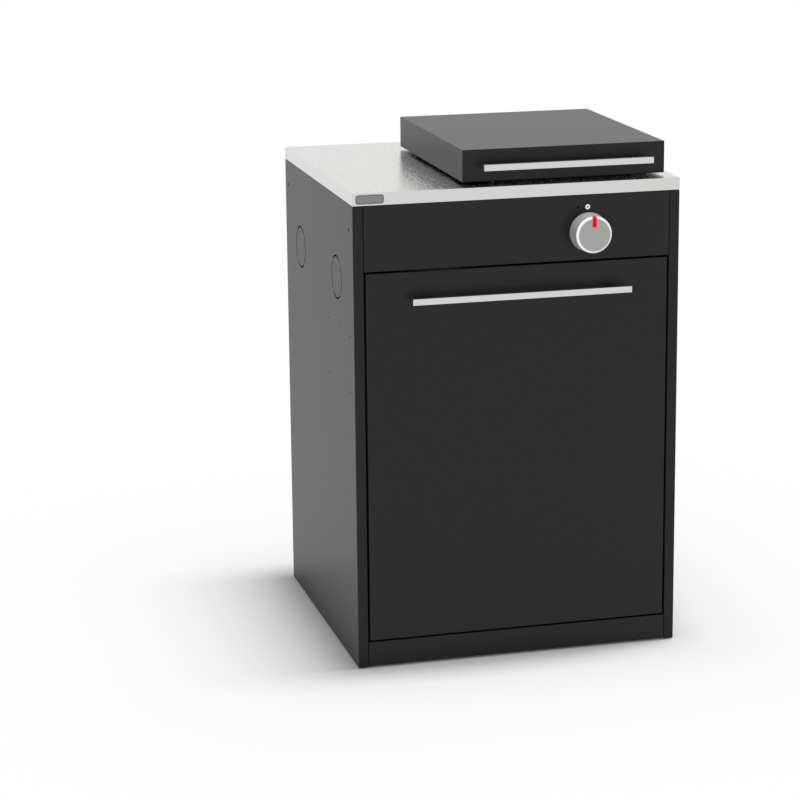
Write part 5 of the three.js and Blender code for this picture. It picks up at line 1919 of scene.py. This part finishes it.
@dataclass
class Studio:
    """A pale floor that turns white away from the island, a white surround, lamps and the camera."""

    floor_half: float = 14.0
    floor_colour: float = 0.9
    floor_rough: float = 0.9
    footprint_half: Pair = (0.32, 0.3)
    footprint_y: float = 0.0205
    fade: float = 0.2
    surround: float = 1.0
    fill: float = 0.39
    lamps: tuple[SoftBox, ...] = (
        SoftBox("top_softbox", (1.18, -0.04, 7.0), (1.18, -0.04, 0.0), (2.76, 0.78), 288.0),
        SoftBox("front_softbox", (-3.0, -7.0, 1.2), (0.0, 0.0, 0.5), (1.8, 1.8), 190.0),
    )
    focal_pixels: float = 2634.1
    picture: float = 800.0
    sensor: float = 36.0
    farthest: float = 60.0
    place: Triple = (-1.4097, -4.94195, 1.7376)
    azimuth: float = math.radians(15.286)
    elevation: float = math.radians(13.702)
    roll: float = math.radians(-0.318)
    shift: Pair = (-0.0625, -0.025)
    MIRRORED_OR_SEEN: ClassVar[NodePlan] = {
        "path": ("LightPath", {}),
        "glossy": ("Math", {"operation": "MAXIMUM"}),
        "shown": ("Math", {"operation": "MAXIMUM"}),
    }
    RAY_LINKS: ClassVar[Links] = (
        ("path.Is Camera Ray", "glossy.0"), ("path.Is Glossy Ray", "glossy.1"), ("glossy.Value", "shown.0"),
        ("path.Is Transmission Ray", "shown.1"),
    )

    def build(self) -> None:
        """Builds floor, surround, lamps and camera."""
        self.floor()
        self.world()
        for lamp in self.lamps:
            lamp.build()
        self.camera()

    def floor(self) -> None:
        """The floor: it keeps the island's soft shadow and fades to plain white further out."""
        bm = bmesh.new()
        bmesh.ops.create_grid(bm, x_segments=2, y_segments=2, size=self.floor_half)
        floor = Mill.held(bm, "studio_floor")
        material = bpy.data.materials.new("pale_floor")
        material.use_nodes = True
        material.cycles.emission_sampling = "NONE"
        nodes = material.node_tree.nodes
        shader = nodes["Principled BSDF"]
        shader.inputs["Base Color"].default_value = (*[self.floor_colour] * 3, 1)
        shader.inputs["Roughness"].default_value = self.floor_rough
        shader.inputs["Specular IOR Level"].default_value = 0.0
        plan = {
            "place": ("TexCoord", {}),
            "offset": ("VectorMath", {"operation": "SUBTRACT", 1: (0.0, self.footprint_y, 0.0)}),
            "mirrored": ("VectorMath", {"operation": "ABSOLUTE"}),
            "past": ("VectorMath", {"operation": "SUBTRACT", 1: (*self.footprint_half, 0.0)}),
            "outside": ("VectorMath", {"operation": "MAXIMUM", 1: (0.0, 0.0, 0.0)}),
            "distance": ("VectorMath", {"operation": "LENGTH"}),
            "scaled": ("Math", {"operation": "MULTIPLY", 1: -1 / self.fade}),
            "decay": ("Math", {"operation": "EXPONENT"}),
            "share": ("Math", {"operation": "SUBTRACT", 0: 1.0}),
            "masked": ("Math", {"operation": "MULTIPLY"}),
            "white": ("Emission", {"Strength": self.surround}),
            "mix": ("MixShader", {}),
        }
        links = (
            ("place.Object", "offset.0"), ("offset.Vector", "mirrored.0"), ("mirrored.Vector", "past.0"),
            ("past.Vector", "outside.0"), ("outside.Vector", "distance.0"), ("distance.Value", "scaled.0"),
            ("scaled.Value", "decay.0"), ("decay.Value", "share.1"), ("share.Value", "masked.0"),
            ("shown.Value", "masked.1"), ("masked.Value", "mix.Fac"), ("shader.BSDF", "mix.1"),
            ("white.Emission", "mix.2"), ("mix.Shader", "output.Surface"),
        )
        lay_nodes(
            material.node_tree, {**self.MIRRORED_OR_SEEN, **plan}, (*self.RAY_LINKS, *links),
            shader=shader, output=nodes["Material Output"],
        )
        floor.data.materials.append(material)

    def world(self) -> None:
        """White to the camera and in reflections, softer as a light."""
        world = bpy.data.worlds.new("studio")
        bpy.context.scene.world = world
        world.use_nodes = True
        world.node_tree.nodes.clear()
        pure = (1.0, 1.0, 1.0, 1.0)
        plan = {
            "light": ("Background", {"Color": pure, "Strength": self.fill}),
            "white": ("Background", {"Color": pure, "Strength": self.surround}),
            "mix": ("MixShader", {}),
            "output": ("OutputWorld", {}),
        }
        links = (
            ("shown.Value", "mix.Fac"), ("light.Background", "mix.1"), ("white.Background", "mix.2"),
            ("mix.Shader", "output.Surface"),
        )
        lay_nodes(world.node_tree, {**self.MIRRORED_OR_SEEN, **plan}, (*self.RAY_LINKS, *links))

    def camera(self) -> None:
        """The camera at the photograph's place, worked out from the object's corners."""
        data = bpy.data.cameras.new("camera")
        data.sensor_width = self.sensor
        data.lens = self.focal_pixels * self.sensor / self.picture
        data.shift_x, data.shift_y = self.shift
        data.clip_end = self.farthest
        level = math.cos(self.elevation)
        ahead = Vector(
            (math.sin(self.azimuth) * level, math.cos(self.azimuth) * level, -math.sin(self.elevation)),
        )
        right = ahead.cross(UPWARD).normalized()
        up = right.cross(ahead)
        tilt = Matrix.Rotation(self.roll, 3, -ahead)
        turn = Matrix((tilt @ right, tilt @ up, -ahead)).transposed().to_4x4()
        camera = bpy.data.objects.new("camera", data)
        camera.matrix_world = Matrix.Translation(self.place) @ turn
        bpy.context.scene.collection.objects.link(camera)
        bpy.context.scene.camera = camera


def main() -> None:
    """Builds the island's pieces in order, then the studio round them."""
    logging.basicConfig(level=logging.INFO, format="%(message)s")
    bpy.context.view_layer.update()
    bpy.context.scene.view_settings.view_transform = "Standard"
    for assembly in (Cabinet(), PullOut(), LidAssembly(), Controls(), Hob()):
        LOG.info("building %s", type(assembly).__name__)
        assembly.build()
    Studio().build()


if __name__ == "__main__":
    main()
